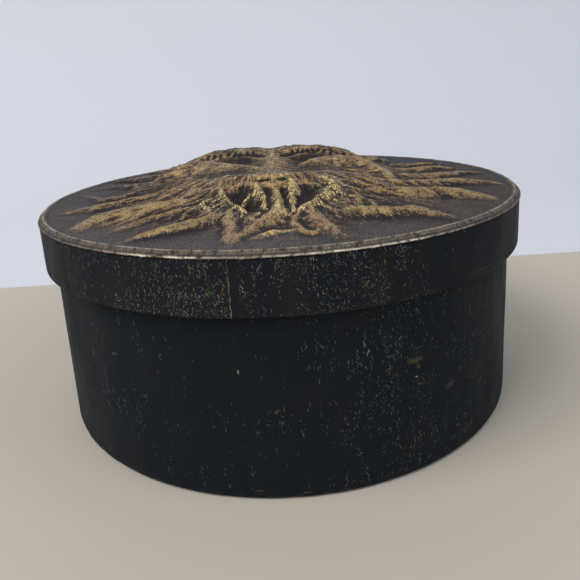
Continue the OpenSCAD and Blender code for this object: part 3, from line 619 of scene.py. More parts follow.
# =================================================================== covers
def dense(path, step):
    """the path with points no further apart than step, where a leg is straight"""
    out = [path[0]]
    for p, q in zip(path[:-1], path[1:]):
        d = math.dist(p[:2], q[:2])
        k = max(1, int(math.ceil(d / step)))
        for i in range(1, k + 1):
            out.append(tuple(p[j] + (q[j] - p[j]) * i / k for j in range(2)))
    return out


def quarter(c, r, a, b, n=5):
    return [(c[0] + r * math.cos(math.radians(a + (b - a) * i / n)), c[1] + r * math.sin(math.radians(a + (b - a) * i / n)))
            for i in range(n + 1)]


def round_cover(name, outer, inner, angles, move, attrs):
    """A thin covering turned about Z. outer is the seen side of its section and inner the glued side, both lists of (r, z).
    move(k, r, z, angle) gives the offset (dr, dz, da) of the seen side, k its index; attrs(r, z, angle, seen) the attributes."""
    no, ni = len(outer), len(inner)
    n = len(angles)
    ang = np.asarray(angles)
    V = []
    A = {}
    for k, (r, z) in enumerate(outer + inner[::-1]):
        seen = k < no
        R, Z = np.full(n, r), np.full(n, z)
        if seen:
            dr, dz, da = move(k, r, z, ang)
        else:
            dr, dz, da = 0.0, 0.0, 0.0
        th = ang + da
        V.append(np.stack([(R + dr) * np.cos(th), (R + dr) * np.sin(th), Z + dz], 1))
        for key, val in attrs(r, z, ang, seen).items():
            A.setdefault(key, []).append(np.broadcast_to(np.asarray(val, float), (n, 3) if np.ndim(val) == 2 else (n,)))
    m = no + ni
    F = []
    for k in range(m):
        a = k * n + np.arange(n)
        b = ((k + 1) % m) * n + np.arange(n)
        F.append(np.stack([a, np.roll(a, -1), np.roll(b, -1), b], 1))
    return new_mesh(name, np.concatenate(V), F, {k: np.concatenate(w) for k, w in A.items()})


def seam_angles(n, seam):
    """n angles round, ascending from the seam, with a close pair on either side of it"""
    a = np.linspace(0, 2 * math.pi, n, endpoint=False)[1:-1]
    tight = np.array([0.0, 0.0004, 0.0012, 0.003])
    a = a[(a > 0.006) & (a < 2 * math.pi - 0.008)]
    return seam + np.concatenate([tight, a, 2 * math.pi - np.array([0.006, 0.0035, 0.0012, 0.0006])])


SKIRT_SEAM = math.radians(-99.3)


def build_skirt_cover():
    rb, rt, c = 0.8, 0.7, 0.4
    r_turn = R_SKIRT_IN - 8
    outer = ([(R_SKIRT_IN - c, Z_SKIRT + 4)] + quarter((R_SKIRT_IN - c + rb, Z_SKIRT + rb), rb, 180, 270, 4)
             + dense([(R_SKIRT_IN - c + rb, Z_SKIRT), (R_SKIRT - rb, Z_SKIRT)], 1.0)[1:-1]
             + quarter((R_SKIRT - rb, Z_SKIRT + rb), rb, 270, 360, 4)
             + dense([(R_SKIRT, Z_SKIRT + rb), (R_SKIRT, Z_PANEL - rt)], 0.6)[1:-1]
             + quarter((R_SKIRT - rt, Z_PANEL - rt), rt, 0, 90, 4) + [(r_turn, Z_PANEL)])
    inner = [(R_SKIRT_IN, Z_SKIRT + 4), (R_SKIRT_IN, Z_SKIRT + c), (R_SKIRT - c, Z_SKIRT + c), (R_SKIRT - c, Z_BOARD),
             (r_turn, Z_BOARD)]
    angles = seam_angles(900, SKIRT_SEAM)
    first = angles[0]
    span = 2 * math.pi

    def move(k, r, z, a):
        out = sstep(R_SKIRT - 1.2, R_SKIRT - 0.2, np.full(len(a), r))
        u = (a - first)
        wave = 0.07 * fbm(np.cos(a) * 4 + z / 30, np.sin(a) * 4, 101, 3) - 0.03
        left = (u > span - 0.001 - 0.0009) * 1.0
        lap = np.where(u > span - 14 / R_SKIRT, 0.14 * sstep(span - 14 / R_SKIRT, span - 11 / R_SKIRT, u), 0.0)
        edge = 0.0015 * np.sin(z * 1.7) + 0.0008 * np.sin(z * 5.1 + 1) + 0.0035 * (66 - z) / 16 * 0.5
        near = np.exp(-((np.minimum(u, span - u)) / 0.02) ** 2)
        da = edge * near
        press = -0.05 * np.exp(-((z - (Z_SKIRT + 1.2)) / 1.2) ** 2) * (0.5 + 0.5 * vnoise(a * 12, a * 0, 103))
        return (wave + lap + press) * out, 0.0, da

    def attrs(r, z, a, seen):
        u = a - first
        deg = np.degrees(a)
        deg = np.where(deg > 180, deg - 360, deg)
        front = np.interp(deg, [-180, -150, -141, -132, -122, -112, -100, -99.4, -99.2, -98.2, -97.8, -64.0, -63.4, -56, -40, 0, 60, 120, 180],
                          [.45, .40, .50, .70, .80, .95, 1.0, 1.0, .0, .05, .9, 0.9, 0.30, .25, .20, .4, .6, .6, .5])
        wear = np.exp(-(z - Z_SKIRT) / 0.5) * (r > R_SKIRT - 2.2) * 0.8
        seam = np.exp(-(span - u) * R_SKIRT / 0.35) + np.exp(-u * R_SKIRT / 0.05)
        return {"sheet": np.stack([u * R_SKIRT, np.full(len(a), z), np.zeros(len(a))], 1),
                "dens": front, "wear": wear, "seam": seam, "seen": 1.0 if seen else 0.0}

    return round_cover("skirt_covering", outer, inner, angles, move, attrs)


BODY_SEAM = math.radians(97)


def build_body_cover():
    rb, rt, c = 1.0, 0.8, 0.4
    r_hem = R_WALL - 11
    outer = ([(r_hem, Z_HEM)] + [(r_hem + 4, Z_HEM), (r_hem + 8, Z_HEM)]
             + quarter((R_BODY - rb, Z_HEM + rb), rb, -90, 0, 5)
             + dense([(R_BODY, Z_HEM + rb), (R_BODY, Z_DRUM - rt)], 1.0)[1:-1]
             + quarter((R_BODY - rt, Z_DRUM - rt), rt, 0, 90, 4)
             + quarter((R_WALL_IN - c + rt, Z_DRUM - rt), rt, 90, 180, 4)
             + [(R_WALL_IN - c, Z_DRUM - 6), (R_WALL_IN - c, Z_DRUM - 11)])
    inner = [(r_hem, Z_BASE), (R_WALL, Z_BASE), (R_WALL, Z_DRUM - c), (R_WALL_IN, Z_DRUM - c), (R_WALL_IN, Z_DRUM - 11)]
    angles = seam_angles(720, BODY_SEAM)
    first = angles[0]
    span = 2 * math.pi

    def move(k, r, z, a):
        out = sstep(R_BODY - 1.4, R_BODY - 0.2, np.full(len(a), r)) * (z < Z_DRUM - 1)
        u = a - first
        wave = 0.10 * fbm(np.cos(a) * 3 + z / 26, np.sin(a) * 3 + z / 40, 131, 3) - 0.05
        lap = np.where(u > span - 16 / R_BODY, 0.16 * sstep(span - 16 / R_BODY, span - 13 / R_BODY, u), 0.0)
        foot = -0.12 * np.exp(-((z - 1.0) / 0.8) ** 2) * np.clip(vnoise(a * 16, a * 0, 133) + 0.3, 0, 1)
        near = np.exp(-((np.minimum(u, span - u)) / 0.02) ** 2)
        return (wave + lap + foot) * out, 0.0, 0.0018 * np.sin(z * 0.23) * near

    def attrs(r, z, a, seen):
        u = a - first
        deg = np.degrees(a)
        deg = np.where(deg > 180, deg - 360, deg)
        front = np.interp(deg, [-180, -150, -140, -128, -118, -105, -95, -85, -76, -66, -56, -47, -36, -20, 30, 90, 150, 180],
                          [.30, .28, .26, .40, .46, .36, .42, .58, .72, .74, .70, .62, .55, .45, .40, .45, .36, .30])
        wear = np.exp(-(z - Z_HEM) / 0.6) * (r > R_BODY - 1.5)
        wear = wear + np.exp(-(Z_DRUM - z) / 0.7) * (r > R_WALL_IN - 0.6) * 0.6
        seam = np.exp(-(span - u) * R_BODY / 0.35) + np.exp(-u * R_BODY / 0.05)
        return {"sheet": np.stack([u * R_BODY, np.full(len(a), z), np.zeros(len(a))], 1),
                "dens": front, "wear": wear, "seam": seam, "seen": 1.0 if seen else 0.0}

    return round_cover("drum_covering", outer, inner, angles, move, attrs)


# ================================================================ materials
class Nodes:
    """A little builder for procedural materials."""

    def __init__(self, name):
        self.mat = bpy.data.materials.new(name)
        self.mat.use_nodes = True
        self.t = self.mat.node_tree
        self.t.nodes.clear()
        self.out = self.t.nodes.new("ShaderNodeOutputMaterial")
        self.bsdf = self.t.nodes.new("ShaderNodeBsdfPrincipled")
        self.t.links.new(self.bsdf.outputs[0], self.out.inputs[0])

    def link(self, val, socket):
        if isinstance(val, bpy.types.NodeSocket):
            self.t.links.new(val, socket)
        elif val is not None:
            socket.default_value = val

    def node(self, kind, out=0, props=None, **ins):
        n = self.t.nodes.new(kind)
        for k, v in (props or {}).items():
            setattr(n, k, v)
        for k, v in ins.items():
            key = int(k[1:]) if k[0] == "i" and k[1:].isdigit() else k.replace("_", " ")
            self.link(v, n.inputs[key])
        return n.outputs[out]

    def math(self, op, a, b=None, c=None, clamp=False):
        n = self.t.nodes.new("ShaderNodeMath")
        n.operation = op
        n.use_clamp = clamp
        for i, v in enumerate((a, b, c)):
            if v is not None:
                self.link(v, n.inputs[i])
        return n.outputs[0]

    def attr(self, name, vector=False):
        n = self.t.nodes.new("ShaderNodeAttribute")
        n.attribute_type = "GEOMETRY"
        n.attribute_name = name
        return n.outputs["Vector" if vector else "Fac"]

    def coords(self, scale=1000.0):
        n = self.t.nodes.new("ShaderNodeTexCoord")
        return self.vec("SCALE", n.outputs["Object"], scale=scale)

    def vec(self, op, a, b=None, scale=None, out=0):
        n = self.t.nodes.new("ShaderNodeVectorMath")
        n.operation = op
        self.link(a, n.inputs[0])
        if b is not None:
            self.link(b, n.inputs[1])
        if scale is not None:
            self.link(scale, n.inputs["Scale"])
        return n.outputs[out]

    def combine(self, x, y, z=0.0):
        return self.node("ShaderNodeCombineXYZ", i0=x, i1=y, i2=z)

    def noise(self, vec, scale, detail=3.0, rough=0.5, distort=0.0, out=0):
        return self.node("ShaderNodeTexNoise", out=out, Vector=vec, Scale=scale, Detail=detail, Roughness=rough,
                         Distortion=distort)

    def voronoi(self, vec, scale, feature="F1", rand=1.0, out=0):
        return self.node("ShaderNodeTexVoronoi", out=out, props={"feature": feature}, Vector=vec, Scale=scale,
                         Randomness=rand)

    def ramp(self, val, lo, hi, a=0.0, b=1.0, smooth=True):
        return self.node("ShaderNodeMapRange", props={"interpolation_type": "SMOOTHSTEP" if smooth else "LINEAR"},
                         Value=val, From_Min=lo, From_Max=hi, To_Min=a, To_Max=b)

    def mix(self, fac, a, b, mode="MIX"):
        n = self.t.nodes.new("ShaderNodeMix")
        n.data_type = "RGBA"
        n.blend_type = mode
        n.clamp_factor = True
        self.link(fac, n.inputs[0])
        for v, i in ((a, 6), (b, 7)):
            self.link((*v, 1.0) if isinstance(v, tuple) else v, n.inputs[i])
        return n.outputs[2]

    def lerp(self, fac, a, b):
        n = self.t.nodes.new("ShaderNodeMix")
        n.data_type = "FLOAT"
        n.clamp_factor = True
        self.link(fac, n.inputs[0])
        self.link(a, n.inputs[2])
        self.link(b, n.inputs[3])
        return n.outputs[0]

    def bump(self, height, distance, strength=1.0, normal=None):
        return self.node("ShaderNodeBump", Strength=strength, Distance=distance, Height=height, Normal=normal)

    def finish(self, colour=None, rough=None, metal=None, normal=None, **other):
        b = self.bsdf
        for val, key in ((colour, "Base Color"), (rough, "Roughness"), (metal, "Metallic"), (normal, "Normal")):
            if isinstance(val, tuple):
                val = (*val, 1.0)
            self.link(val, b.inputs[key])
        for k, v in other.items():
            if isinstance(v, tuple):
                v = (*v, 1.0)
            b.inputs[k.replace("_", " ")].default_value = v
        return self.mat


def mat_relief():
    m = Nodes("gilded_relief")
    p = m.coords()
    gold, rim, dash, polish_and_glints = m.attr("gold"), m.attr("rim"), m.attr("dash"), m.attr("polish_and_glints")
    dust_sheen_weight, cav = m.attr("dust_and_sheen"), m.attr("cav")
    s, t = m.attr("s"), m.attr("t")
    # strands along the hair, split finer away from the middle
    near = m.noise(m.combine(m.math("MULTIPLY", s, 1.0), m.math("MULTIPLY", t, 0.24)), 1.0, 3.0, 0.65)
    outer = m.noise(m.combine(m.math("MULTIPLY", s, 1.7), m.math("MULTIPLY", t, 0.26)), 1.0, 3.0, 0.65)
    streak = m.lerp(m.ramp(t, 34.0, 56.0), near, outer)
    fine = m.noise(p, 1.25, 4.0, 0.65)
    grit = m.noise(p, 1.7, 2.0, 0.6)
    grain = m.noise(m.vec("MULTIPLY", p, (2.3, 0.75, 1.9)), 1.0, 2.0, 0.65)
    patch = m.noise(p, 0.11, 3.0, 0.5)
    base = m.math("ADD", gold, m.math("MULTIPLY", m.math("SUBTRACT", patch, 0.5), 1.4))
    base = m.math("SUBTRACT", base, m.math("MULTIPLY", cav, 0.55))
    # a thin bronze wash under the brighter leaf
    ga = m.math("ADD", base, m.math("MULTIPLY", m.math("SUBTRACT", streak, 0.5), 1.8))
    ga = m.math("ADD", ga, m.math("MULTIPLY", m.math("SUBTRACT", fine, 0.5), 2.2))
    hairline = m.noise(m.combine(m.math("MULTIPLY", s, 2.1), m.math("MULTIPLY", t, 0.36)), 1.0, 2.0, 0.6)
    gb = m.math("ADD", m.math("MULTIPLY", base, 0.95), m.math("MULTIPLY", m.math("SUBTRACT", streak, 0.5), 2.6))
    gb = m.math("ADD", gb, m.math("MULTIPLY", m.math("SUBTRACT", grit, 0.5), 3.4))
    gb = m.math("ADD", gb, m.math("MULTIPLY", m.math("SUBTRACT", grain, 0.5), 4.6))
    gb = m.math("ADD", gb, m.math("MULTIPLY", m.math("SUBTRACT", hairline, 0.5), 4.0))
    gb = m.math("SUBTRACT", gb, m.math("MULTIPLY", m.ramp(m.attr("h"), 0.7, 0.1), m.math("SUBTRACT", 0.9, rim, clamp=True)))
    gb = m.math("SUBTRACT", gb, m.math("MULTIPLY", polish_and_glints, 0.55))
    mane = m.ramp(t, 42.0, 60.0)
    gb = m.math("ADD", gb, m.math("MULTIPLY", mane, m.math("MULTIPLY", m.ramp(m.attr("h"), 0.6, 1.6), 0.35)))
    calm = m.math("MULTIPLY", m.ramp(gold, 0.5, 1.4), m.math("SUBTRACT", 1.0, m.math("MULTIPLY", polish_and_glints, 1.4), clamp=True))
    keep = m.math("SUBTRACT", 1.0, m.math("MULTIPLY", dash, 0.85))
    wash = m.math("MULTIPLY", m.ramp(ga, -1.0, 0.80), keep)
    mask = m.math("MULTIPLY", m.ramp(gb, 0.56, 0.82), keep)
    pits = m.ramp(m.noise(m.vec("ADD", p, (31.0, 7.0, 3.0)), 0.95, 3.0, 0.65), 0.53, 0.62)
    mask = m.math("MULTIPLY", mask, m.math("SUBTRACT", 1.0, m.math("MULTIPLY", pits, 0.95)))
    wash = m.math("MULTIPLY", wash, m.math("SUBTRACT", 1.0, m.math("MULTIPLY", pits, m.ramp(gold, 0.2, 1.6, 0.85, 0.35))))
    dark = m.mix(m.noise(p, 0.5, 3.0), (0.019, 0.016, 0.018), (0.048, 0.038, 0.038))
    bronze = m.mix(m.ramp(m.noise(p, 0.7, 3.0), 0.32, 0.68), (0.125, 0.088, 0.060), (0.225, 0.158, 0.096))
    brown = m.mix(m.ramp(m.noise(p, 0.30, 3.0), 0.32, 0.68), (0.26, 0.162, 0.072), (0.49, 0.308, 0.125))
    # painted highlights: shine lightens the thickest gold, glint scatters bright specks, and the rubbed-bright places
    # get near-white gold, partly fresher gold and partly painted glints
    shine = m.math("MULTIPLY", m.ramp(gb, 1.5, 2.6), 0.85)
    fresh_gold_and_glints = m.math("MULTIPLY", polish_and_glints, m.ramp(m.math("ADD", m.math("ADD", m.math("MULTIPLY", hairline, 0.45), m.math("MULTIPLY", grit, 0.35)), m.math("MULTIPLY", grain, 0.4)), 0.59, 0.63), clamp=True)
    gcol = m.mix(shine, brown, (0.72, 0.505, 0.20))
    glint = m.ramp(m.noise(m.vec("MULTIPLY", m.vec("ADD", p, (50.0, 11.0, 4.0)), (2.6, 0.9, 2.2)), 1.0, 2.0, 0.6), 0.56, 0.64)
    glint = m.math("MULTIPLY", glint, m.ramp(gold, 0.1, 1.3, 0.15, 0.55))
    gcol = m.mix(glint, gcol, (0.86, 0.62, 0.28))
    gcol = m.mix(m.math("MULTIPLY", mane, 0.5), gcol, (0.31, 0.205, 0.105))
    gcol = m.mix(fresh_gold_and_glints, gcol, (1.0, 0.79, 0.33))
    col = m.mix(wash, dark, bronze)
    col = m.mix(mask, col, gcol)
    # painted shade in the hollows, partly dark patina: the colour goes towards near-black where cav is high
    col = m.mix(m.math("MULTIPLY", m.ramp(cav, 0.25, 0.9), m.math("SUBTRACT", 0.75, m.math("MULTIPLY", mask, 0.6)), clamp=True), col, (0.030, 0.025, 0.027))
    # black specks where the paint has come off the grain
    specks = m.ramp(m.noise(m.vec("MULTIPLY", m.vec("ADD", p, (9.0, 2.0, 23.0)), (2.5, 0.85, 2.1)), 1.0, 2.0, 0.6), 0.51, 0.56)
    specks = m.math("MULTIPLY", m.math("MULTIPLY", specks, m.ramp(gb, 2.2, 0.9, 0.15, 0.95)), m.math("SUBTRACT", 1.0, m.math("MULTIPLY", calm, 0.65)))
    col = m.mix(specks, col, (0.020, 0.016, 0.017))
    # grey film on what faces upwards, thick on the field: settled dirt, and on the upward faces a painted grey sheen
    up = m.ramp(m.node("ShaderNodeSeparateXYZ", out=2, i0=m.node("ShaderNodeNewGeometry", out=1)), 0.84, 0.995)
    dust_and_sheen = m.math("MULTIPLY", m.math("MULTIPLY", up, dust_sheen_weight), m.ramp(m.noise(p, 1.2, 4.0, 0.75), 0.30, 0.66, 0.15, 1.0))
    dust_and_sheen = m.math("MULTIPLY", dust_and_sheen, m.math("SUBTRACT", 1.0, m.math("MULTIPLY", mask, 0.62)))
    dust_and_sheen = m.math("MULTIPLY", dust_and_sheen, m.math("SUBTRACT", 1.0, m.math("MULTIPLY", cav, 0.8)))
    tone = m.mix(m.ramp(patch, 0.4, 0.62), (0.080, 0.071, 0.072), (0.110, 0.098, 0.100))
    # the field's grey: painted shade, darker towards the right; painted sky reflection, bluer at the back right;
    # lighter towards the front
    right = m.ramp(m.node("ShaderNodeSeparateXYZ", out=0, i0=p), 5.0, 60.0)
    behind = m.math("MULTIPLY", right, m.ramp(m.node("ShaderNodeSeparateXYZ", out=1, i0=p), 5.0, 50.0))
    tone = m.mix(right, tone, (0.048, 0.042, 0.042))
    tone = m.mix(m.ramp(m.node("ShaderNodeSeparateXYZ", out=1, i0=p), -35.0, -78.0), tone, (0.128, 0.115, 0.117))
    tone = m.mix(behind, tone, (0.050, 0.064, 0.096))
    pucker = m.noise(m.vec("MULTIPLY", m.vec("ADD", p, (3.0, 50.0, 9.0)), (1.7, 0.55, 1.4)), 1.0, 3.0, 0.7)
    tone = m.mix(m.ramp(pucker, 0.40, 0.60), m.mix(0.62, tone, (0.024, 0.021, 0.024)), m.mix(0.12, tone, (0.235, 0.215, 0.215)))
    col = m.mix(dust_and_sheen, col, tone)
    # painted grey sheen along the tops of the ridges
    painted_sheen = m.math("MULTIPLY", m.attr("painted_sheen"), m.ramp(m.noise(m.combine(m.math("MULTIPLY", s, 0.8), m.math("MULTIPLY", t, 0.3)), 1.0, 4.0, 0.7), 0.38, 0.62), clamp=True)
    col = m.mix(m.math("MULTIPLY", painted_sheen, 0.85), col, (0.262, 0.240, 0.230))
    # rubbed lines of the rim, lightened further as painted highlights of the arris and the roll's top
    worn_and_highlight = m.math("MULTIPLY", rim, m.ramp(m.noise(p, 0.45, 4.0, 0.75), 0.34, 0.60), clamp=True)
    col = m.mix(worn_and_highlight, col, (1.0, 0.89, 0.70))
    metal = m.math("MULTIPLY", m.math("MULTIPLY", mask, m.math("SUBTRACT", 1.0, dust_and_sheen)), 0.6)
    metal = m.math("MULTIPLY", metal, m.math("SUBTRACT", 1.0, m.math("MULTIPLY", fresh_gold_and_glints, 0.95)))
    rough = m.lerp(fresh_gold_and_glints, m.lerp(mask, 0.60, 0.30), 0.26)
    height = m.math("ADD", m.math("MULTIPLY", fine, 0.7), m.math("MULTIPLY", streak, 1.0))
    height = m.math("ADD", height, m.math("MULTIPLY", m.noise(p, 3.2, 3.0, 0.6), 0.35))
    nrm = m.bump(height, 0.00036, 1.0)
    return m.finish(col, rough, metal, nrm, Specular_IOR_Level=0.10)


def mat_cover(name, body=False, marks=(), tinted=()):
    m = Nodes(name)
    uv = m.attr("sheet", vector=True)
    dens, wear, seam = m.attr("dens"), m.attr("wear"), m.attr("seam")
    # worn crests of the grain: one short curved upright stroke to a cell, kept in upright strings
    bend = m.vec("SUBTRACT", m.noise(uv, 0.5, 2.0, 0.5, out=1), (0.5, 0.5, 0.5))
    q = m.vec("ADD", uv, m.vec("SCALE", bend, scale=0.9))
    wide = m.noise(m.vec("MULTIPLY", uv, (0.05, 0.06, 1.0)), 1.0, 2.0, 0.5)
    tint = 0.0
    for (u, z, ru, rz) in tinted:
        d = m.vec("LENGTH", m.vec("MULTIPLY", m.vec("SUBTRACT", uv, (u, z, 0.0)), (1 / ru, 1 / rz, 0.0)), out=1)
        tint = m.ramp(d, 0.2, 1.0, 1.0, 0.0)
    height_up = m.node("ShaderNodeSeparateXYZ", out=1, i0=uv)
    fleck, bright, gilt = None, None, None
    for (pu, pz, hu, hz, off, gain) in ((0.85, 1.45, 0.095, 0.62, 0.0, 1.0), (0.62, 0.80, 0.10, 0.22, 41.0, 1.1), (1.4, 2.4, 0.075, 1.05, 83.0, 0.7)):
        if not body:
            pu, pz, hu, hz = 0.88 * pu, 0.85 * pz, 0.84 * hu, 0.80 * hz
        w = m.vec("ADD", m.vec("MULTIPLY", q, (1 / pu, 1 / pz, 1.0)), (off, off, 0.0))
        cell = m.node("ShaderNodeTexVoronoi", out=2, props={"feature": "F1", "voronoi_dimensions": "2D"}, Vector=w, Scale=1.0, Randomness=0.9)
        rnd = [m.node("ShaderNodeSeparateXYZ", out=k, i0=cell.node.outputs[1]) for k in range(3)]
        d = m.vec("MULTIPLY", m.vec("SUBTRACT", w, cell), (pu, pz, 0.0))
        dx, dz = m.node("ShaderNodeSeparateXYZ", out=0, i0=d), m.node("ShaderNodeSeparateXYZ", out=1, i0=d)
        lean = m.math("MULTIPLY", m.math("SUBTRACT", rnd[0], 0.5), 1.5)
        curl = m.math("MULTIPLY", m.math("SUBTRACT", rnd[1], 0.5), 1.6)
        dx = m.math("ADD", dx, m.math("MULTIPLY", dz, m.math("ADD", lean, m.math("MULTIPLY", curl, dz))))
        across = m.ramp(m.math("ABSOLUTE", dx), hu * 0.7, hu * 1.5, 1.0, 0.0)
        reach = m.math("MULTIPLY", m.ramp(rnd[1], 0.0, 1.0, 0.35, 1.0, smooth=False), hz)
        along = m.ramp(m.math("DIVIDE", m.math("ABSOLUTE", dz), reach), 0.7, 1.15, 1.0, 0.0)
        clus = m.noise(m.vec("ADD", m.vec("MULTIPLY", uv, (0.42, 0.06, 1.0)), (off, 3.0, 0.0)), 1.0, 3.0, 0.55)
        v = m.math("ADD", m.math("MULTIPLY", m.math("SUBTRACT", clus, 0.5), 2.6), m.math("MULTIPLY", m.math("SUBTRACT", wide, 0.5), 1.0))
        v = m.math("ADD", v, m.math("MULTIPLY", m.math("SUBTRACT", dens, 0.62), 0.80 * gain))
        v = m.math("ADD", v, m.math("MULTIPLY", tint, 0.12)) if tinted else v
        v = m.math("SUBTRACT", v, m.ramp(height_up, 2.6, 1.0)) if body else m.math("SUBTRACT", v, 0.035)
        pick = m.ramp(m.math("SUBTRACT", v, rnd[2]), -0.02, 0.03)
        one = m.math("MULTIPLY", m.math("MULTIPLY", across, along), pick)
        lit = m.math("MULTIPLY", one, m.math("ADD", m.math("MULTIPLY", m.math("POWER", rnd[2], 1.5), 1.4), m.math("MULTIPLY", rnd[0], 0.5)), clamp=True)
        gold = m.math("MULTIPLY", one, m.ramp(m.math("ADD", rnd[1], m.math("MULTIPLY", tint, 0.35)) if tinted else rnd[1], 0.88, 0.96))
        fleck = one if fleck is None else m.math("MAXIMUM", fleck, one)
        bright = lit if bright is None else m.math("MAXIMUM", bright, lit)
        gilt = gold if gilt is None else m.math("MAXIMUM", gilt, gold)
    fcol = m.mix(bright, (0.045, 0.046, 0.045), (0.44, 0.42, 0.35))
    fcol = m.mix(gilt, fcol, (0.30, 0.215, 0.105))
    # fine pale dust between the strokes
    dusting = m.math("MULTIPLY", m.ramp(m.noise(uv, 2.1, 3.0, 0.7), 0.60, 0.70), m.ramp(clus, 0.42, 0.60))
    # ground: blotchy blue-black and brown-black, with faint upright streaks
    blotch = m.noise(m.vec("MULTIPLY", uv, (0.09, 0.05, 1.0)), 1.0, 4.0, 0.6)
    fine = m.noise(uv, 1.6, 4.0, 0.65)
    upright = m.noise(m.vec("MULTIPLY", uv, (0.55, 0.03, 1.0)), 1.0, 3.0, 0.6)
    deep, soft = ((0.0112, 0.0163, 0.0224), (0.0144, 0.0168, 0.0206)) if body else ((0.0132, 0.0164, 0.0220), (0.0208, 0.0198, 0.0222))
    ground = m.mix(m.ramp(blotch, 0.36, 0.68), deep, soft)
    ground = m.mix(m.math("MULTIPLY", m.ramp(fine, 0.5, 0.75), 0.45), ground, (0.018, 0.0185, 0.021))
    ground = m.mix(m.math("MULTIPLY", m.ramp(upright, 0.5, 0.7), 0.35), ground, (0.016, 0.0185, 0.022))
    ground = m.mix(m.math("MULTIPLY", dusting, m.math("MULTIPLY", dens, 0.30 if body else 0.5)), ground, (0.060, 0.058, 0.054))
    col = m.mix(m.math("MULTIPLY", fleck, 0.62 if body else 0.95), ground, fcol)
    rub = m.math("MULTIPLY", wear, m.ramp(m.noise(m.vec("MULTIPLY", uv, (0.22, 0.6, 1.0)), 1.0, 4.0, 0.65), 0.46, 0.66), clamp=True)
    col = m.mix(m.math("MULTIPLY", rub, 0.55), col, (0.17, 0.145, 0.105))
    torn = m.math("MULTIPLY", m.ramp(seam, 0.35, 0.9), m.ramp(m.noise(m.vec("MULTIPLY", uv, (1.0, 0.5, 1.0)), 1.0, 3.0, 0.6), 0.42, 0.56), clamp=True)
    col = m.mix(torn, col, (0.34, 0.27, 0.16))
    # single marks, scuffs and scratches and one painted edge highlight: place, half-length, half-width, turn, broken
    # edge, colour, strength
    for (u, z, ru, rz, turn, rag, tint, power) in marks:
        w = m.vec("SCALE", m.vec("SUBTRACT", m.noise(uv, 0.8, 3.0, 0.6, out=1), (0.5, 0.5, 0.5)), scale=rag)
        d = m.vec("SUBTRACT", m.vec("ADD", uv, w), (u, z, 0.0))
        d = m.node("ShaderNodeVectorRotate", Vector=d, Angle=math.radians(-turn))
        d = m.vec("LENGTH", m.vec("MULTIPLY", d, (1 / ru, 1 / rz, 0.0)), out=1)
        on = m.math("MULTIPLY", m.ramp(d, 0.55, 1.0, 1.0, 0.0), m.ramp(m.noise(uv, 1.9, 3.0, 0.7), 0.38, 0.56))
        col = m.mix(m.math("MULTIPLY", on, power), col, tint)
    grain = m.voronoi(m.vec("MULTIPLY", uv, (1.5, 0.9, 1.0)), 1.0, "F1")
    height = m.math("ADD", m.math("MULTIPLY", fine, 0.5), m.math("MULTIPLY", grain, 0.22))
    height = m.math("ADD", height, m.math("MULTIPLY", fleck, 0.35))
    nrm = m.bump(height, 0.00022 if not body else 0.00015, 0.8)
    rough = m.ramp(m.noise(m.vec("MULTIPLY", uv, (0.08, 0.03, 1.0)), 1.0, 3.0), 0.3, 0.7, 0.46, 0.62)
    return m.finish(col, rough, 0.0, nrm, Specular_IOR_Level=0.045)


def mat_paper(name, light, dark, spots=0.3, scale=1.0, rough=0.85):
    """plain paper with fibres, faint stains and a soft tooth"""
    m = Nodes(name)
    p = m.coords()
    fibre = m.noise(m.vec("MULTIPLY", p, (1.0, 1.0, 0.5)), 1.7 * scale, 4.0, 0.65, 0.6)
    cloud = m.noise(p, 0.045, 4.0, 0.55)
    col = m.mix(m.ramp(cloud, 0.35, 0.68), light, dark)
    col = m.mix(m.math("MULTIPLY", m.ramp(fibre, 0.52, 0.72), 0.25), col, tuple(0.6 * c for c in dark))
    fox = m.ramp(m.voronoi(p, 0.11), 0.10, 0.02)
    col = m.mix(m.math("MULTIPLY", fox, spots), col, (dark[0] * 0.75, dark[1] * 0.52, dark[2] * 0.3))
    height = m.math("ADD", fibre, m.math("MULTIPLY", m.noise(p, 4.5, 2.0), 0.4))
    return m.finish(col, rough, 0.0, m.bump(height, 0.00012, 0.6))


def mat_board():
    m = Nodes("strawboard")
    p = m.coords()
    fibre = m.noise(m.vec("MULTIPLY", p, (2.4, 2.4, 0.5)), 1.0, 5.0, 0.7, 1.0)
    fleck = m.voronoi(m.vec("MULTIPLY", p, (0.8, 0.8, 0.3)), 1.0)
    col = m.mix(m.ramp(fibre, 0.3, 0.7), (0.30, 0.225, 0.12), (0.46, 0.37, 0.215))
    col = m.mix(m.math("MULTIPLY", m.ramp(fleck, 0.12, 0.03), 0.5), col, (0.17, 0.11, 0.05))
    return m.finish(col, 0.9, 0.0, m.bump(fibre, 0.0002, 0.8))


def give(name, mat):
    ob = NODES[name] if isinstance(name, str) else name
    if len(ob.material_slots) == 0:
        ob.data.materials.append(mat)
    else:
        for s in ob.material_slots:
            s.material = mat


# ================================================================= assembly
relief_top = build_relief()
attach(relief_top, "lid")
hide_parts("relief_panel")
give(relief_top, mat_relief())

skirt = build_skirt_cover()
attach(skirt, "lid")
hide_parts("skirt_cover")
CREAM, GREY, GOLD, SCUFF = (0.42, 0.40, 0.34), (0.085, 0.088, 0.092), (0.30, 0.205, 0.085), (0.050, 0.048, 0.050)


def at(deg, seam, r):
    """how far round the sheet an angle lies"""
    return math.radians((deg - math.degrees(seam)) % 360) * r


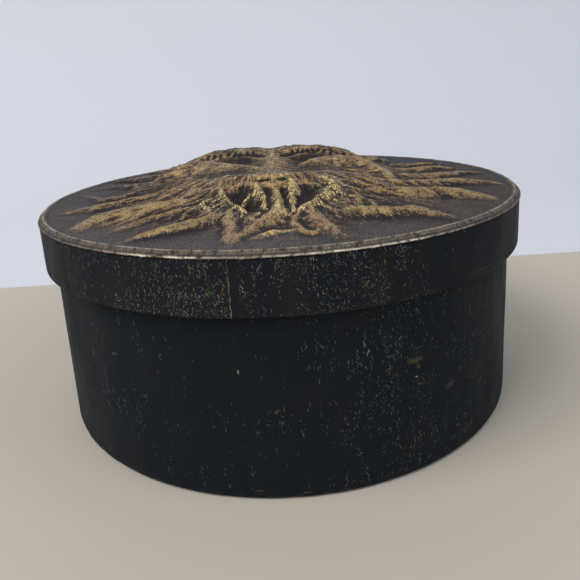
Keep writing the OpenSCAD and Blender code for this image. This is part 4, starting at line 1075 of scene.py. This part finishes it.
# the long thin grey line at -49.5 degrees along the lower edge is a painted highlight of that edge; the others are
# scuffs and scratches
SKIRT_MARKS = [(at(a, SKIRT_SEAM, R_SKIRT), z, ru, rz, turn, rag, tint, power) for (a, z, ru, rz, turn, rag, tint, power) in [
    (-94.2, 72.0, 2.0, 0.15, 60, 0.2, CREAM, .5), (-76.4, 65.0, 1.7, 0.2, 38, 0.4, GOLD, .85), (-75.2, 64.2, 1.4, 0.18, 32, 0.4, GOLD, .75),
    (-49.5, 60.2, 9.0, 0.13, 1, 0.2, GREY, .8), (150, 66, 7, 0.3, 12, 0.8, GREY, .8),
    (60, 62, 2.2, 1.2, 30, 2.0, GOLD, .6), (20, 68, 4, 0.25, 70, 0.8, CREAM, .5)]]
SKIRT_TINT = [(at(-106, SKIRT_SEAM, R_SKIRT), 67.5, 17, 8)]
give(skirt, mat_cover("flecked_covering", False, SKIRT_MARKS, SKIRT_TINT))

drum = build_body_cover()
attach(drum, "box")
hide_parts("body_cover")
DRUM_MARKS = [(at(a, BODY_SEAM, R_BODY), z, ru, rz, turn, rag, tint, power) for (a, z, ru, rz, turn, rag, tint, power) in [
    (-134.2, 48.2, 1.5, 0.22, 22, 0.5, GREY, 1.0), (-131.0, 44.5, 0.3, 3.4, -24, 1.0, SCUFF, 1.0), (-133.4, 43.4, 0.26, 2.6, -30, 1.0, SCUFF, .9), (-132.6, 46.9, 1.3, 0.26, 15, 0.8, SCUFF, .9), (-131.2, 41.2, 1.4, 0.3, -20, 0.8, SCUFF, .9),
    (-131.8, 31.0, 0.22, 7.5, 2, 0.5, GREY, .8), (-127.6, 41.0, 1.6, 0.8, 10, 2.0, GREY, .8), (-135.6, 38.0, 1.0, 1.8, 10, 2.0, GREY, .6),
    (-120.5, 44.0, 0.2, 0.9, -10, 0.5, GREY, .8), (-99.6, 41.0, 0.32, 0.8, 8, 0.2, CREAM, .9), (-76.2, 46.5, 0.2, 1.3, 22, 0.8, CREAM, .7),
    (-75.5, 43.4, 0.2, 1.7, -18, 0.8, CREAM, .65), (-70.6, 41.0, 2.4, 0.4, 4, 1.0, GREY, .8), (-65.5, 37.6, 3.4, 1.0, -3, 1.6, (0.085, 0.078, 0.042), .95),
    (-64.6, 41.4, 2.2, 0.35, 0, 0.8, GREY, .8), (-65.1, 32.2, 0.45, 0.42, 0, 0.1, CREAM, .95), (-56.1, 25.0, 2.2, 1.1, 25, 2.2, GREY, .7),
    (-97.5, 3.2, 1.6, 0.4, 0, 1.0, GOLD, .3), (-88.2, 2.0, 1.6, 0.35, 0, 1.0, GOLD, .3), (-60, 8.0, 4.0, 0.3, 14, 1.0, GREY, .5),
    (-20, 30, 3.0, 0.4, 60, 1.2, GREY, .8), (40, 22, 5.0, 0.3, 25, 1.2, GREY, .8), (140, 40, 2.2, 1.4, 10, 2.5, GREY, .7), (175, 18, 0.4, 5.0, 12, 1.0, GREY, .7)]]
give(drum, mat_cover("worn_covering", True, DRUM_MARKS))

board = mat_board()
lining = mat_paper("lining_paper", (0.66, 0.60, 0.48), (0.56, 0.49, 0.36))
tape = mat_paper("gummed_tape", (0.50, 0.40, 0.25), (0.40, 0.31, 0.18), 0.1, 1.6)
under = mat_paper("base_paper", (0.018, 0.018, 0.021), (0.030, 0.027, 0.026), 0.0, 1.2, 0.7)
for node in ("body_wall", "base_board", "lid_board", "lid_skirt"):
    give(node, board)
for node in ("body_lining", "base_lining", "lid_lining", "skirt_lining"):
    give(node, lining)
for node in ("wall_joint_tape", "skirt_joint_tape"):
    give(node, tape)
give("base_cover", under)


# ==================================================================== stage
def make_stage():
    # floor and wall in one sweep
    prof = [(-3000, 0)] + [(y, 0) for y in (-600, -200, 0, 160, 320)]
    prof += [(320 + 400 * math.sin(math.radians(a)), 400 - 400 * math.cos(math.radians(a))) for a in range(9, 91, 9)]
    prof += [(720, 3000)]
    xs = np.linspace(-3500, 3500, 15)
    v = np.array([[x, y, z - 0.02] for (y, z) in prof for x in xs])
    k = len(xs)
    f = np.array([[j * k + i, j * k + i + 1, (j + 1) * k + i + 1, (j + 1) * k + i]
                  for j in range(len(prof) - 1) for i in range(k - 1)])
    floor = new_mesh("floor", v, [f])
    m = Nodes("pale_floor_and_wall")
    p = m.coords(1.0)
    y = m.node("ShaderNodeSeparateXYZ", out=1, i0=p)
    soft = m.noise(p, 6.0, 3.0)
    table = m.mix(soft, (0.60, 0.535, 0.45), (0.57, 0.51, 0.425))
    wall = m.mix(soft, (0.745, 0.76, 0.81), (0.73, 0.745, 0.795))
    col = m.mix(m.ramp(y, 0.1215, 0.1240), table, wall)
    floor.data.materials.append(m.finish(col, 0.85, 0.0))

    def area(name, loc, target, size, watts, colour=(1, 1, 1)):
        li = bpy.data.lights.new(name, "AREA")
        li.shape = "RECTANGLE"
        li.size, li.size_y = size
        li.energy = watts
        li.color = colour
        ob = bpy.data.objects.new(name, li)
        bpy.context.scene.collection.objects.link(ob)
        ob.location = loc
        ob.rotation_mode = "QUATERNION"
        ob.rotation_quaternion = (Vector(target) - Vector(loc)).to_track_quat("-Z", "Y")

    area("key", (-0.75, -0.55, 1.25), (0, 0, 0.05), (0.9, 0.9), 13.0)
    area("fill", (1.1, -0.5, 0.9), (0, 0, 0.05), (0.8, 0.8), 3.5, (0.92, 0.96, 1.0))
    world = bpy.data.worlds.new("studio")
    bpy.context.scene.world = world
    world.use_nodes = True
    bg = world.node_tree.nodes["Background"]
    bg.inputs[0].default_value = (0.80, 0.84, 0.90, 1)
    bg.inputs[1].default_value = 0.50


make_stage()
bpy.context.scene.view_settings.view_transform = "Standard"
